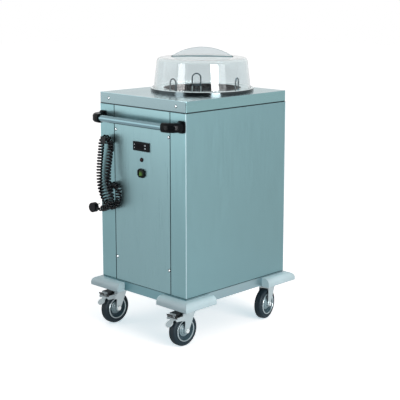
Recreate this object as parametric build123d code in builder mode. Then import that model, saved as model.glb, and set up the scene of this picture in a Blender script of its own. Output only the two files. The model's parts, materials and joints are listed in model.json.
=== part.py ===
from build123d import *

import math
import os

os.makedirs("parts", exist_ok=True)

# Plate dispenser cart on four castors. Millimetres, +Z up, floor at z = 0, front towards -Y.
# The origin is on the floor under the middle of the cart's footprint, handle and bumpers included.

# ---------------------------------------------------------------- driving dimensions: cabinet
body_width = 480.0
body_depth = 556.0
panel_height = 698.0
sheet = 2.0  # thickness of every folded sheet
worktop_lip = 42.0
worktop_corner_radius = 4.0
shadow_gap = 2.0  # dark line between the worktop lip and the panels
seam = 1.5  # gap between neighbouring outer panels
service_panel_width = 312.0
rear_return = 15.0  # width of a side panel's fold beside the rear panel
joggle_reach = 19.0  # how far a panel's joggled lip reaches behind its neighbour
joggle_lap = 3.0
foot_strip_width = 15.0

# ---------------------------------------------------------------- driving dimensions: frames
frame_height = 36.0
frame_setback = 2.0
frame_wall = 3.0
frame_flange = 40.0
frame_gusset = 84.0
base_plate_setback = 5.0
top_frame_height = 68.0
top_frame_flange = 25.0

# ---------------------------------------------------------------- driving dimensions: bumpers
bumper_reach = 35.0
bumper_arm = 128.0  # along the body from its corner
bumper_bottom_drop = 3.0  # below the base frame
bumper_height = 34.0
bumper_shoulder = 22.0  # radius of the upper outer edge
bumper_foot = 4.0  # radius of the lower outer edge

# ---------------------------------------------------------------- driving dimensions: plate well
well_offset = 48.0  # behind the middle of the body
well_radius = 152.5
well_wall = 2.0
collar_radius = 205.0
collar_height = 12.0
collar_skirt = 2.0
collar_neck = 24.0  # below the worktop's upper face
collar_bead = 7.0
collar_bead_rise = 1.8
neck_round = 3.5
collar_hole_gap = 0.5
slot_width = 14.0
slot_margin = 9.0
arm_angles = (84.0, 204.0, 324.0)

# ---------------------------------------------------------------- driving dimensions: clear cover
cover_base_radius = 193.0
cover_top_radius = 180.0
cover_edge_height = 119.0  # shoulder corner above the collar
cover_crown = 4.0
cover_wall = 3.0
cover_shoulder = 18.0
cover_rim_reach = 2.0
cover_rim_height = 5.0
grip_length = 252.0
grip_rise = 37.0
grip_thickness = 8.0
grip_tip = 1.2  # height of the ridge's two ends above the shoulder corner
grip_round = 2.8
grip_turn = 42.0  # the cover stands turned by this angle

# ---------------------------------------------------------------- driving dimensions: plate guides
guide_wire = 5.5
guide_width = 36.0
guide_setback = 7.0  # between the well's wall and the guides' plane
guide_top = 56.0  # above the worktop
guide_foot = 110.0  # below the worktop
guide_angles = (24.0, 144.0, 264.0)
clip_height = 8.0
clip_gap = 0.1
clip_levels = (2.0, -100.0)

# ---------------------------------------------------------------- driving dimensions: plate lift
platform_drop = 44.0  # platform top below the collar's upper face
platform_gap = 4.5  # between the platform's rim and the guides' plane
platform_sheet = 3.0
platform_rim = 17.0
platform_travel = 400.0
arm_width = 12.0
arm_height = 12.0
arm_lap = 41.0  # length of an arm under the platform
carrier_gap = 3.5  # between the plate tube and a carrier plate
carrier_thickness = 3.0
carrier_width = 60.0
carrier_length = 245.0
rod_diameter = 12.0
rod_setback = 14.0  # rod axis outside a carrier plate's inner face
rod_side = 18.0
bush_radius = 12.0
bush_length = 60.0
running_gap = 0.05
spring_diameter = 14.0
spring_shank = 4.0
spring_side = -16.0
spring_tail = 18.0
foot_thickness = 4.0
foot_width = 18.0

# ---------------------------------------------------------------- driving dimensions: heating
heater_radius = 110.0
heater_wire = 8.5
heater_height = 28.0
heater_gap_angle = 20.0  # between the element's two ends
heater_leg = 6.0
sensor_diameter = 6.0
sensor_length = 60.0
sensor_height = 320.0  # above the base plate
sensor_gap = 3.0

# ---------------------------------------------------------------- driving dimensions: push handle
handle_drop = 94.0  # tube axis below the worktop
handle_tube_diameter = 26.0
handle_tube_wall = 1.5
handle_tube_reach = 52.0  # tube axis in front of the body
bracket_inset = 20.0  # middle of a bracket's foot in from the body's side
bracket_thickness = 34.0
bracket_height = 36.0
bracket_round = 13.0
bracket_bend = 33.0
bracket_arm = 10.0
bracket_socket = 15.0
socket_gap = 0.05
bracket_foot_height = 46.0
bracket_foot_width = 38.0
bracket_foot_depth = 7.0
recess_length = 27.0
recess_height = 17.0
recess_depth = 3.0

# ---------------------------------------------------------------- driving dimensions: controls
controller_drop = 191.0  # middle of the bezel below the worktop
controller_width = 90.0
controller_height = 35.0
controller_bezel = 4.0
controller_case_width = 71.0
controller_case_height = 29.0
controller_case_depth = 56.0
window_width = 44.0
window_height = 20.0
window_offset = -7.0
window_thickness = 1.0
key_width = 7.0
key_height = 5.0
key_depth = 3.0
key_proud = 0.6
key_travel = 0.5
key_gap = 0.25
key_column_left = -36.0
key_column_right = 23.0
key_row = 6.0
lamp_drop = 242.0
lamp_bezel_radius = 8.5
lamp_lens_radius = 6.5
lamp_bezel_height = 3.0
lamp_lens_height = 7.0
lamp_body_radius = 6.0
lamp_body_depth = 22.0
switch_drop = 293.5
switch_width = 40.0
switch_height = 34.0
switch_chamfer = 9.0
switch_bezel = 6.0
switch_case_width = 31.0
switch_case_height = 27.0
switch_case_depth = 26.0
rocker_radius = 13.0
rocker_height = 22.4
rocker_gap = 0.3
rocker_tilt = 12.0
rocker_pivot_depth = 3.0  # below the panel's outer face
rocker_waist = 4.0  # height of the V's root above the pivot
hole_gap = 0.5  # round each cut-out in the service panel

# ---------------------------------------------------------------- driving dimensions: screws
screw_diameter = 4.0
screw_head_diameter = 8.0
screw_head_height = 2.4
screw_length = 9.0
screw_gap = 0.1
panel_screw_side = 149.0
panel_screw_drops = (139.0, 648.0)
lip_screw_side = 188.0

# ---------------------------------------------------------------- driving dimensions: castors
wheel_diameter = 125.0
castor_height = 156.0
castor_side = 43.0  # swivel axis in from the body's side
castor_end = 47.0  # swivel axis in from the body's front or rear
castor_trail = 24.0
castor_plate = 76.0
castor_plate_thickness = 3.0
race_radius = 30.0
race_height = 12.0
crown_radius = 28.0
swivel_gap = 0.3
kingpin_radius = 6.0
kingpin_head_radius = 8.0
kingpin_head_height = 3.0
crown_height = 13.4
crown_plate_thickness = 4.0
fork_inner = 20.0
fork_thickness = 3.0
fork_rear = 22.0
fork_front = 30.0
fork_front_braked = 60.0
fork_nose = 11.0
tyre_width = 32.0
tyre_inner_radius = 41.0
tyre_shoulder = 9.0
rim_width = 26.0
rim_ring = 5.0
hub_radius = 14.0
web_thickness = 8.0
axle_radius = 5.0
axle_head_flat = 8.5
axle_head_height = 5.0
castor_bolt_side = 30.0
castor_bolt_radius = 6.0
castor_bolt_height = 4.0

# Each castor: side of the cart, end of the cart, angle it is turned to, with a brake or not.
castors = {
    "front_left": (-1, -1, 0.0, True),
    "front_right": (1, -1, 0.0, True),
    "rear_left": (-1, 1, 14.0, False),
    "rear_right": (1, 1, 12.0, False),
}

# ---------------------------------------------------------------- driving dimensions: brake pedals
pedal_pivot = (-52.0, 116.0)  # along the castor and above the floor
pedal_pin_radius = 3.0
pedal_arm_gap = 0.3
pedal_arm_thickness = 3.0
pedal_hub = 8.0
pedal_reach = -77.0
pedal_tab_half_width = 17.0
pedal_heel = (-38.0, 129.0)
pedal_heel_radius = 7.0
pedal_tip_radius = 6.0
pedal_plate_thickness = 6.0
pedal_plate_height = 17.0
pedal_plate_drop = 3.0  # below the pivot
pedal_toe_reach = 15.0
pedal_toe_rise = 10.0
pedal_toe_thickness = 6.0
pedal_toe_lift = 5.0  # foot of the toe plate above the pivot
pedal_stem_height = 5.0
pedal_shoe_inner = -47.5
pedal_shoe_height = 12.0
pedal_shoe_lift = 10.0  # underside of the shoe above the pivot
pedal_pad_radius = 15.0
pedal_pad_thickness = 5.0
pedal_pad_place = (-93.0, 99.0)

# ---------------------------------------------------------------- driving dimensions: supply cord
cord_diameter = 7.0
curl_radius = 9.0  # from the coil's axis to the middle of the wire
curl_turns = 66.75
gland_radius = 8.5
gland_tip_radius = 6.0
gland_thread_radius = 6.5
gland_nut_radius = 9.5
gland_nut_thickness = 4.0
hook_width = 28.0
hook_sheet = 3.0
hook_reach = 42.0
hook_lip = 24.0
hook_back = 36.0
hook_clearance = 6.2  # under the middle of the arch, which bends down at the hook's two sides
tail_length = 12.0
boot_length = 14.0
boot_radius = 6.5
boot_tip_radius = 5.0
plug_radius = 19.5
plug_thickness = 23.0
plug_round = 3.0
pin_radius = 2.4
pin_length = 19.0
pin_half_spacing = 9.5

# The coil's axis hangs over the hook: across the cart, out from the front face, above the floor.
coil_route = [
    (-172.5, 15.0, 557.0),
    (-164.5, 15.0, 573.5),
    (-147.0, 15.0, 581.5),
    (-129.0, 15.0, 575.0),
    (-120.5, 15.0, 559.0),
    (-118.5, 15.0, 537.0),
    (-128.0, 15.0, 508.5),
    (-156.0, 15.0, 487.0),
    (-187.5, 15.0, 494.5),
    (-210.0, 15.0, 517.0),
    (-226.0, 15.5, 548.0),
    (-232.5, 16.5, 586.0),
    (-230.0, 18.5, 627.0),
    (-221.0, 21.0, 676.0),
    (-210.0, 24.0, 718.0),
    (-206.5, 25.0, 742.0),
    (-198.0, 25.0, 756.5),
    (-185.0, 25.0, 763.0),
    (-170.0, 25.0, 763.0),
    (-157.0, 25.0, 756.5),
    (-149.5, 26.0, 741.0),
    (-149.5, 27.5, 721.0),
    (-152.5, 31.0, 685.0),
    (-156.5, 36.0, 638.0),
    (-153.0, 40.5, 600.0),
    (-141.0, 42.0, 570.0),
    (-130.5, 42.0, 541.5),
    (-134.0, 42.0, 511.0),
    (-157.0, 42.0, 489.5),
    (-189.0, 42.0, 482.0),
]

# ---------------------------------------------------------------- places worked out from the sizes
handle_reach = handle_tube_reach + bracket_thickness / 2
body_y = (handle_reach - bumper_reach) / 2
front_y = body_y - body_depth / 2
rear_y = body_y + body_depth / 2
well_y = body_y + well_offset
frame_bottom = castor_height
frame_top = frame_bottom + frame_height
panel_bottom = frame_top + sheet
panel_top = panel_bottom + panel_height
lip_bottom = panel_top + shadow_gap
worktop_top = lip_bottom + worktop_lip
worktop_under = worktop_top - sheet
collar_top = worktop_top + collar_height
well_outer = well_radius + well_wall
guide_distance = well_radius - guide_setback
platform_top = collar_top - platform_drop
wheel_radius = wheel_diameter / 2
crown_top = castor_height - castor_plate_thickness - race_height - swivel_gap
crown_bottom = crown_top - crown_height
fork_outer = fork_inner + fork_thickness
pedal_arm_inner = fork_outer + pedal_arm_gap
pedal_arm_outer = pedal_arm_inner + pedal_arm_thickness


def level(height):
    """Horizontal plane on the body's middle at a height."""
    return Plane(origin=(0, body_y, height), x_dir=(1, 0, 0), z_dir=(0, 0, 1))


def well_level(height, turn=0.0):
    """Horizontal plane on the well's axis at a height, turned about that axis."""
    angle = math.radians(turn)
    return Plane(origin=(0, well_y, height), x_dir=(math.cos(angle), math.sin(angle), 0), z_dir=(0, 0, 1))


def facing_front(y):
    """Upright plane whose normal points to the front: local x is +X, local y is +Z."""
    return Plane(origin=(0, y, 0), x_dir=(1, 0, 0), z_dir=(0, -1, 0))


def facing_side(x):
    """Upright plane whose normal is +X: local x is +Y, local y is +Z."""
    return Plane(origin=(x, 0, 0), x_dir=(0, 1, 0), z_dir=(1, 0, 0))


well_axis = Axis((0, well_y, 0), (0, 0, 1))

# ================================================================ path of the curly cord
OUTWARD = Vector(0, -1, 0)

with BuildLine(mode=Mode.PRIVATE) as coil_axis:
    Spline(*[(x, front_y - out, z) for x, out, z in coil_route])
coil_axis_edge = coil_axis.edge()


def coil_frame(turn):
    """Centre, axial, outward and sideways directions of the coil at a number of turns."""
    share = min(max(turn / curl_turns, 0.0), 1.0)
    along = coil_axis_edge % share
    outward = (OUTWARD - along * OUTWARD.dot(along)).normalized()
    return coil_axis_edge @ share, along, outward, along.cross(outward)


def curl_point(turn):
    """Middle of the wire after a number of turns."""
    centre, _, outward, sideways = coil_frame(turn)
    angle = 2 * math.pi * turn - math.pi / 2
    return centre + outward * (curl_radius * math.cos(angle)) + sideways * (curl_radius * math.sin(angle))


def curl_tangent(turn):
    """Direction of the wire after a number of turns."""
    step = 0.001
    start = max(turn - step, 0.0)
    end = min(turn + step, curl_turns)
    return (curl_point(end) - curl_point(start)).normalized()


def biarc_joint(start, start_way, end, end_way):
    """Point and direction where two tangent arcs between two points meet."""
    chord = end - start
    ways = start_way + end_way
    spread = 2 * (1 - start_way.dot(end_way))
    pull = chord.dot(ways)
    reach = (math.sqrt(pull * pull + spread * chord.dot(chord)) - pull) / spread
    joint = (start + end + (start_way - end_way) * reach) * 0.5
    way = ((end - end_way * reach) - (start + start_way * reach)).normalized()
    return joint, way


curl_turn_list = [0.5 * count for count in range(int(curl_turns * 2) + 1)]
if curl_turns - curl_turn_list[-1] > 0.01:
    curl_turn_list.append(curl_turns)
curl_points = [curl_point(turn) for turn in curl_turn_list]
curl_ways = [curl_tangent(turn) for turn in curl_turn_list]
_, end_along, end_outward, end_sideways = coil_frame(curl_turns)
curl_ways[0] = OUTWARD
curl_ways[-1] = end_sideways * -1.0
cord_start = curl_points[0] - OUTWARD * cord_diameter
cord_turn_off = curl_points[-1] + curl_ways[-1] * curl_radius + end_along * curl_radius
cord_end = cord_turn_off + end_along * cord_diameter

samples_per_turn = 16
sample_count = int(curl_turns * samples_per_turn) + 1
sample_points = [tuple(curl_point(count / samples_per_turn)) for count in range(sample_count)]
least_gap = min(
    math.dist(sample_points[i], sample_points[j])
    for i in range(sample_count)
    for j in range(i + samples_per_turn * 5 // 8, sample_count)
) - cord_diameter
wire_length = sum(math.dist(a, b) for a, b in zip(sample_points, sample_points[1:]))
wire_length += 2 * cord_diameter + math.pi / 2 * curl_radius
print(f"curly cord: {curl_turns} curls, least gap to itself {least_gap:.2f} mm, wire {wire_length:.0f} mm")
coil_pitch = coil_axis_edge.length / curl_turns
print(f"curly cord: coil axis {coil_axis_edge.length:.0f} mm, pitch {coil_pitch:.2f} mm")

gland_x = curl_points[0].X
gland_z = curl_points[0].Z
arch = sorted(coil_route, key=lambda point: point[2])[-2:]  # where the coil lies over the hook
hook_x = sum(x for x, out, z in arch) / len(arch)
arch_height = max(z for x, out, z in arch)
hook_top = arch_height - curl_radius - cord_diameter / 2 - hook_clearance

# ================================================================ worktop and collar
with BuildPart() as worktop:
    with BuildSketch(level(lip_bottom)):
        RectangleRounded(body_width, body_depth, worktop_corner_radius)
    extrude(amount=worktop_lip)
    with BuildSketch(level(lip_bottom)):
        Rectangle(body_width - 2 * sheet, body_depth - 2 * sheet)
    extrude(amount=worktop_lip - sheet, mode=Mode.SUBTRACT)
    with BuildSketch(well_level(worktop_under)):
        Circle(well_outer + collar_hole_gap)
    extrude(amount=sheet, mode=Mode.SUBTRACT)
    with BuildSketch(facing_front(front_y)):
        with Locations(*[(side * lip_screw_side, lip_bottom + worktop_lip / 2) for side in (-1, 1)]):
            Circle(screw_diameter / 2 + screw_gap)
    extrude(amount=-sheet, mode=Mode.SUBTRACT)
worktop.part.label = "worktop"
export_step(worktop.part, "parts/worktop.step")

with BuildPart() as collar_ring:
    bead_start = collar_radius - collar_bead
    with BuildSketch(facing_front(well_y)):
        with BuildLine():
            Polyline(
                (well_radius, collar_top - neck_round),
                (well_radius, worktop_top - collar_neck),
                (well_outer, worktop_top - collar_neck),
                (well_outer, collar_top - sheet),
                (collar_radius - collar_skirt, collar_top - sheet),
                (collar_radius - collar_skirt, worktop_top),
                (collar_radius, worktop_top),
                (collar_radius, collar_top - collar_bead_rise),
            )
            ThreePointArc(
                (collar_radius, collar_top - collar_bead_rise),
                (collar_radius - collar_bead / 2, collar_top + collar_bead_rise),
                (bead_start, collar_top),
            )
            Line((bead_start, collar_top), (well_radius + neck_round, collar_top))
            TangentArc(
                (well_radius + neck_round, collar_top),
                (well_radius, collar_top - neck_round),
                tangent=(-1, 0),
            )
        make_face()
    revolve(axis=well_axis)
collar_ring.part.label = "collar_ring"
export_step(collar_ring.part, "parts/collar_ring.step")

# ================================================================ clear cover
def cover_profile(inset):
    """Half section of the cover's outside, or of its inside when set in by the wall."""
    base = cover_base_radius - inset
    top = cover_top_radius - inset
    edge = collar_top + cover_edge_height - inset
    crown = edge + cover_crown
    with BuildSketch(facing_front(well_y)) as section:
        with BuildLine():
            Polyline((0, crown), (0, collar_top), (base, collar_top), (top, edge))
            TangentArc((0, crown), (top, edge), tangent=(1, 0))
        make_face()
        fillet(section.vertices().group_by(Axis.Y)[-2].sort_by(Axis.X)[-1], cover_shoulder - inset)
    return section.sketch


with BuildPart() as dome_cover:
    revolve(cover_profile(0.0), axis=well_axis)
    cover_top = collar_top + cover_edge_height
    turn = math.radians(grip_turn)
    grip_plane = Plane(
        origin=(0, well_y, cover_top),
        x_dir=(math.cos(turn), math.sin(turn), 0),
        z_dir=(math.sin(turn), -math.cos(turn), 0),
    )
    with BuildSketch(grip_plane):
        with BuildLine():
            ThreePointArc(
                (-grip_length / 2, grip_tip),
                (0, cover_crown + grip_rise),
                (grip_length / 2, grip_tip),
            )
            Polyline(
                (grip_length / 2, grip_tip),
                (grip_length / 2, -cover_wall),
                (-grip_length / 2, -cover_wall),
                (-grip_length / 2, grip_tip),
            )
        make_face()
    extrude(amount=grip_thickness / 2, both=True)
    ridges = dome_cover.edges().filter_by(GeomType.CIRCLE).filter_by(
        lambda edge: edge.center().Z > cover_top + cover_crown + grip_round
    )
    fillet(ridges, grip_round)
    revolve(cover_profile(cover_wall), axis=well_axis, mode=Mode.SUBTRACT)
    with BuildSketch(well_level(collar_top)):
        Circle(cover_base_radius + cover_rim_reach)
        Circle(cover_base_radius - cover_wall, mode=Mode.SUBTRACT)
    extrude(amount=cover_rim_height)
dome_cover.part.label = "dome_cover"
export_step(dome_cover.part, "parts/dome_cover.step")

# ================================================================ top frame
with BuildPart() as top_frame:
    top_frame_width = body_width - 2 * sheet
    top_frame_depth = body_depth - 2 * sheet
    with BuildSketch(level(worktop_under)):
        Rectangle(top_frame_width, top_frame_depth)
        Rectangle(top_frame_width - 2 * frame_wall, top_frame_depth - 2 * frame_wall, mode=Mode.SUBTRACT)
    extrude(amount=-top_frame_height)
    with BuildSketch(level(worktop_under)):
        Rectangle(top_frame_width, top_frame_depth)
        Rectangle(
            top_frame_width - 2 * top_frame_flange,
            top_frame_depth - 2 * top_frame_flange,
            mode=Mode.SUBTRACT,
        )
    extrude(amount=-frame_wall)
    with BuildSketch(facing_front(front_y + sheet)):
        with Locations(*[(side * lip_screw_side, lip_bottom + worktop_lip / 2) for side in (-1, 1)]):
            Circle(screw_diameter / 2 + screw_gap)
    extrude(amount=-frame_wall, mode=Mode.SUBTRACT)
top_frame.part.label = "top_frame"
export_step(top_frame.part, "parts/top_frame.step")

# ================================================================ side, rear and service panels
front_return = (body_width - service_panel_width) / 2 - seam
rear_panel_width = body_width - 2 * (rear_return + seam)
panel_screw_heights = [worktop_top - drop for drop in panel_screw_drops]

for hand, name in ((-1, "side_panel_left"), (1, "side_panel_right")):
    with BuildPart() as side_panel:
        edge_x = hand * body_width / 2
        with BuildSketch(Plane.XY.offset(panel_bottom)):
            with BuildLine():
                Polyline(
                    (edge_x, front_y),
                    (edge_x - hand * front_return, front_y),
                    (edge_x - hand * front_return, front_y + sheet),
                    (edge_x - hand * (front_return + joggle_reach), front_y + sheet),
                    (edge_x - hand * (front_return + joggle_reach), front_y + 2 * sheet),
                    (edge_x - hand * (front_return - joggle_lap), front_y + 2 * sheet),
                    (edge_x - hand * (front_return - joggle_lap), front_y + sheet),
                    (edge_x - hand * sheet, front_y + sheet),
                    (edge_x - hand * sheet, rear_y - sheet),
                    (edge_x - hand * (rear_return - joggle_lap), rear_y - sheet),
                    (edge_x - hand * (rear_return - joggle_lap), rear_y - 2 * sheet),
                    (edge_x - hand * (rear_return + joggle_reach), rear_y - 2 * sheet),
                    (edge_x - hand * (rear_return + joggle_reach), rear_y - sheet),
                    (edge_x - hand * rear_return, rear_y - sheet),
                    (edge_x - hand * rear_return, rear_y),
                    (edge_x, rear_y),
                    close=True,
                )
            make_face()
        extrude(amount=panel_height)
        # The cabinet's upper edge laps the top frame, so its joggles stop below that frame.
        with BuildSketch(Plane.XY.offset(worktop_under - top_frame_height)):
            with Locations((edge_x - hand * body_width / 4, body_y)):
                Rectangle(body_width / 2 - 2 * sheet, body_depth - 2 * sheet)
        extrude(amount=top_frame_height, mode=Mode.SUBTRACT)
        with BuildSketch(facing_front(front_y + sheet)):
            with Locations(*[(hand * panel_screw_side, height) for height in panel_screw_heights]):
                Circle(screw_diameter / 2 + screw_gap)
        extrude(amount=-sheet, mode=Mode.SUBTRACT)
        if hand < 0:
            with BuildSketch(facing_front(front_y)):
                with Locations((gland_x, gland_z)):
                    Circle(gland_thread_radius + screw_gap)
            extrude(amount=-sheet, mode=Mode.SUBTRACT)
    side_panel.part.label = name
    export_step(side_panel.part, f"parts/{name}.step")

with BuildPart() as panel_feet:
    with BuildSketch(level(panel_bottom)):
        with GridLocations(body_width - 2 * sheet - foot_strip_width, 0, 2, 1):
            Rectangle(foot_strip_width, body_depth - 4 * sheet)
    extrude(amount=sheet)
panel_feet.part.label = "panel_feet"
export_step(panel_feet.part, "parts/panel_feet.step")

with BuildPart() as back_panel:
    with BuildSketch(Plane.XY.offset(panel_bottom)):
        with Locations((0, rear_y - sheet / 2)):
            Rectangle(rear_panel_width, sheet)
    extrude(amount=panel_height)
back_panel.part.label = "back_panel"
export_step(back_panel.part, "parts/back_panel.step")

controller_z = worktop_top - controller_drop
lamp_z = worktop_top - lamp_drop
switch_z = worktop_top - switch_drop

with BuildPart() as service_panel:
    with BuildSketch(Plane.XY.offset(panel_bottom)):
        with Locations((0, front_y + sheet / 2)):
            Rectangle(service_panel_width, sheet)
    extrude(amount=panel_height)
    with BuildSketch(facing_front(front_y)):
        with Locations(*[(side * panel_screw_side, z) for side in (-1, 1) for z in panel_screw_heights]):
            Circle(screw_diameter / 2 + screw_gap)
        with Locations((0, controller_z)):
            Rectangle(controller_case_width + hole_gap, controller_case_height + hole_gap)
        with Locations((0, lamp_z)):
            Circle(lamp_body_radius + hole_gap / 2)
        with Locations((0, switch_z)):
            Rectangle(switch_case_width + hole_gap, switch_case_height + hole_gap)
    extrude(amount=-sheet, mode=Mode.SUBTRACT)
service_panel.part.label = "service_panel"
export_step(service_panel.part, "parts/service_panel.step")

with BuildPart() as cover_screws:
    screw_places = [(side * panel_screw_side, z) for side in (-1, 1) for z in panel_screw_heights]
    screw_places += [(side * lip_screw_side, lip_bottom + worktop_lip / 2) for side in (-1, 1)]
    with BuildSketch(facing_front(front_y)):
        with Locations(*screw_places):
            Circle(screw_head_diameter / 2)
    extrude(amount=screw_head_height)
    with BuildSketch(facing_front(front_y)):
        with Locations(*screw_places):
            Circle(screw_diameter / 2)
    extrude(amount=-screw_length)
    head_rims = cover_screws.edges().filter_by(GeomType.CIRCLE).group_by(Axis.Y)[0]
    fillet(head_rims, screw_head_height * 0.6)
cover_screws.part.label = "cover_screws"
export_step(cover_screws.part, "parts/cover_screws.step")

# ================================================================ base frame, base plate, bumpers
frame_width = body_width - 2 * frame_setback
frame_depth = body_depth - 2 * frame_setback

with BuildPart() as base_frame:
    with BuildSketch(level(frame_bottom)):
        Rectangle(frame_width, frame_depth)
        Rectangle(frame_width - 2 * frame_flange, frame_depth - 2 * frame_flange, mode=Mode.SUBTRACT)
    extrude(amount=frame_height)
    with BuildSketch(level(frame_bottom + frame_wall)):
        Rectangle(frame_width - 2 * frame_wall, frame_depth - 2 * frame_wall)
    extrude(amount=frame_height - 2 * frame_wall, mode=Mode.SUBTRACT)
    with BuildSketch(level(frame_bottom)):
        with GridLocations(frame_width - frame_gusset, frame_depth - frame_gusset, 2, 2):
            Rectangle(frame_gusset, frame_gusset)
    extrude(amount=frame_wall)
base_frame.part.label = "base_frame"
export_step(base_frame.part, "parts/base_frame.step")

with BuildPart() as base_plate:
    with BuildSketch(level(frame_top)):
        Rectangle(body_width - 2 * base_plate_setback, body_depth - 2 * base_plate_setback)
    extrude(amount=sheet)
base_plate.part.label = "base_plate"
export_step(base_plate.part, "parts/base_plate.step")

for hand, end, name in (
    (-1, -1, "bumper_front_left"),
    (1, -1, "bumper_front_right"),
    (-1, 1, "bumper_rear_left"),
    (1, 1, "bumper_rear_right"),
):
    corner_x = hand * frame_width / 2
    corner_y = body_y + end * frame_depth / 2
    reach = bumper_reach + frame_setback
    arm = bumper_arm - frame_setback
    bottom = frame_bottom - bumper_bottom_drop
    with BuildPart() as bumper:
        # The section stands at the end of the arm along the front or rear, seen from that end.
        with BuildSketch(
            Plane(origin=(corner_x - hand * arm, corner_y, bottom), x_dir=(0, end, 0), z_dir=(end, 0, 0))
        ) as section:
            Rectangle(reach, bumper_height, align=(Align.MIN, Align.MIN))
            fillet(section.vertices().group_by(Axis.Y)[-1].sort_by(Axis.X)[-1], bumper_shoulder)
            fillet(section.vertices().group_by(Axis.Y)[0].sort_by(Axis.X)[-1], bumper_foot)
        with BuildLine() as arm_path:
            Polyline(
                (corner_x - hand * arm, corner_y, bottom),
                (corner_x, corner_y, bottom),
                (corner_x, corner_y - end * arm, bottom),
            )
        sweep(path=arm_path.wire(), transition=Transition.RIGHT)
    bumper.part.label = name
    export_step(bumper.part, f"parts/{name}.step")

# ================================================================ push handle
handle_z = worktop_top - handle_drop
bracket_half_span = body_width / 2 - bracket_inset
tube_y = front_y - handle_tube_reach
socket_mouth = bracket_half_span - bracket_bend - bracket_arm
socket_end = socket_mouth + bracket_socket

with BuildPart() as handle_tube:
    with BuildSketch(facing_side(-socket_end)):
        with Locations((tube_y, handle_z)):
            Circle(handle_tube_diameter / 2)
            Circle(handle_tube_diameter / 2 - handle_tube_wall, mode=Mode.SUBTRACT)
    extrude(amount=2 * socket_end)
handle_tube.part.label = "handle_tube"
export_step(handle_tube.part, "parts/handle_tube.step")

for hand, name in ((-1, "handle_bracket_left"), (1, "handle_bracket_right")):
    foot_x = hand * bracket_half_span
    bend_y = tube_y + bracket_bend
    with BuildPart() as handle_bracket:
        with BuildLine() as elbow:
            Line((foot_x, front_y, handle_z), (foot_x, bend_y, handle_z))
            TangentArc(
                (foot_x, bend_y, handle_z),
                (foot_x - hand * bracket_bend, tube_y, handle_z),
                tangent=(0, -1, 0),
            )
            Line((foot_x - hand * bracket_bend, tube_y, handle_z), (hand * socket_mouth, tube_y, handle_z))
        with BuildSketch(facing_front(front_y)):
            with Locations((foot_x, handle_z)):
                RectangleRounded(bracket_thickness, bracket_height, bracket_round)
        sweep(path=elbow.wire())
        with BuildSketch(facing_front(front_y)):
            with Locations((foot_x, handle_z)):
                RectangleRounded(bracket_foot_width, bracket_foot_height, bracket_round)
        extrude(amount=bracket_foot_depth)
        with BuildSketch(facing_side(hand * socket_mouth)):
            with Locations((tube_y, handle_z)):
                Circle(handle_tube_diameter / 2 + socket_gap)
        extrude(amount=hand * bracket_socket, mode=Mode.SUBTRACT)
        half_turn = math.sqrt(0.5)
        outer_bend = bracket_bend + bracket_thickness / 2
        recess_plane = Plane(
            origin=(
                foot_x - hand * bracket_bend + hand * outer_bend * half_turn,
                bend_y - outer_bend * half_turn,
                handle_z,
            ),
            x_dir=(half_turn, hand * half_turn, 0),
            z_dir=(hand * half_turn, -half_turn, 0),
        )
        with BuildSketch(recess_plane.offset(-recess_depth)):
            SlotOverall(recess_length, recess_height)
        extrude(amount=2 * recess_depth, mode=Mode.SUBTRACT)
    handle_bracket.part.label = name
    export_step(handle_bracket.part, f"parts/{name}.step")

# ================================================================ controller with its keys
with BuildPart() as controller_body:
    with BuildSketch(facing_front(front_y)):
        with Locations((0, controller_z)):
            RectangleRounded(controller_width, controller_height, 2)
    extrude(amount=controller_bezel)
    with BuildSketch(facing_front(front_y)):
        with Locations((0, controller_z)):
            Rectangle(controller_case_width, controller_case_height)
    extrude(amount=-controller_case_depth)
    with BuildSketch(facing_front(front_y - controller_bezel)):
        with Locations((window_offset, controller_z)):
            Rectangle(window_width, window_height)
    extrude(amount=-window_thickness, mode=Mode.SUBTRACT)
    with BuildSketch(facing_front(front_y - controller_bezel)):
        with Locations(
            *[
                (column, controller_z + row)
                for column in (key_column_left, key_column_right)
                for row in (-key_row, key_row)
            ]
        ):
            Rectangle(key_width + 2 * key_gap, key_height + 2 * key_gap)
    extrude(amount=-(key_depth + key_travel), mode=Mode.SUBTRACT)
controller_body.part.label = "controller_body"
export_step(controller_body.part, "parts/controller_body.step")

with BuildPart() as controller_window:
    with BuildSketch(facing_front(front_y - controller_bezel + window_thickness)):
        with Locations((window_offset, controller_z)):
            Rectangle(window_width - 2 * socket_gap, window_height - 2 * socket_gap)
    extrude(amount=window_thickness)
controller_window.part.label = "controller_window"
export_step(controller_window.part, "parts/controller_window.step")

for column, row, name in (
    (key_column_left, key_row, "key_up"),
    (key_column_left, -key_row, "key_down"),
    (key_column_right, key_row, "key_set"),
    (key_column_right, -key_row, "key_power"),
):
    with BuildPart() as key:
        with BuildSketch(facing_front(front_y - controller_bezel + key_depth - key_proud)):
            with Locations((column, controller_z + row)):
                RectangleRounded(key_width, key_height, 1)
        extrude(amount=key_depth)
    key.part.label = name
    export_step(key.part, f"parts/{name}.step")

# ================================================================ pilot lamp and rocker switch
with BuildPart() as pilot_lamp:
    with BuildSketch(facing_front(front_y)):
        with Locations((0, lamp_z)):
            Circle(lamp_bezel_radius)
    extrude(amount=lamp_bezel_height)
    with BuildSketch(facing_front(front_y)):
        with Locations((0, lamp_z)):
            Circle(lamp_lens_radius)
    extrude(amount=lamp_lens_height)
    with BuildSketch(facing_front(front_y)):
        with Locations((0, lamp_z)):
            Circle(lamp_body_radius)
    extrude(amount=-lamp_body_depth)
    lens_rim = pilot_lamp.edges().filter_by(GeomType.CIRCLE).sort_by(Axis.Y)[0]
    fillet(lens_rim, (lamp_lens_height - lamp_bezel_height) * 0.9)
pilot_lamp.part.label = "pilot_lamp"
export_step(pilot_lamp.part, "parts/pilot_lamp.step")

rocker_pocket = rocker_radius + rocker_gap
pivot_y = front_y + rocker_pivot_depth

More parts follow.
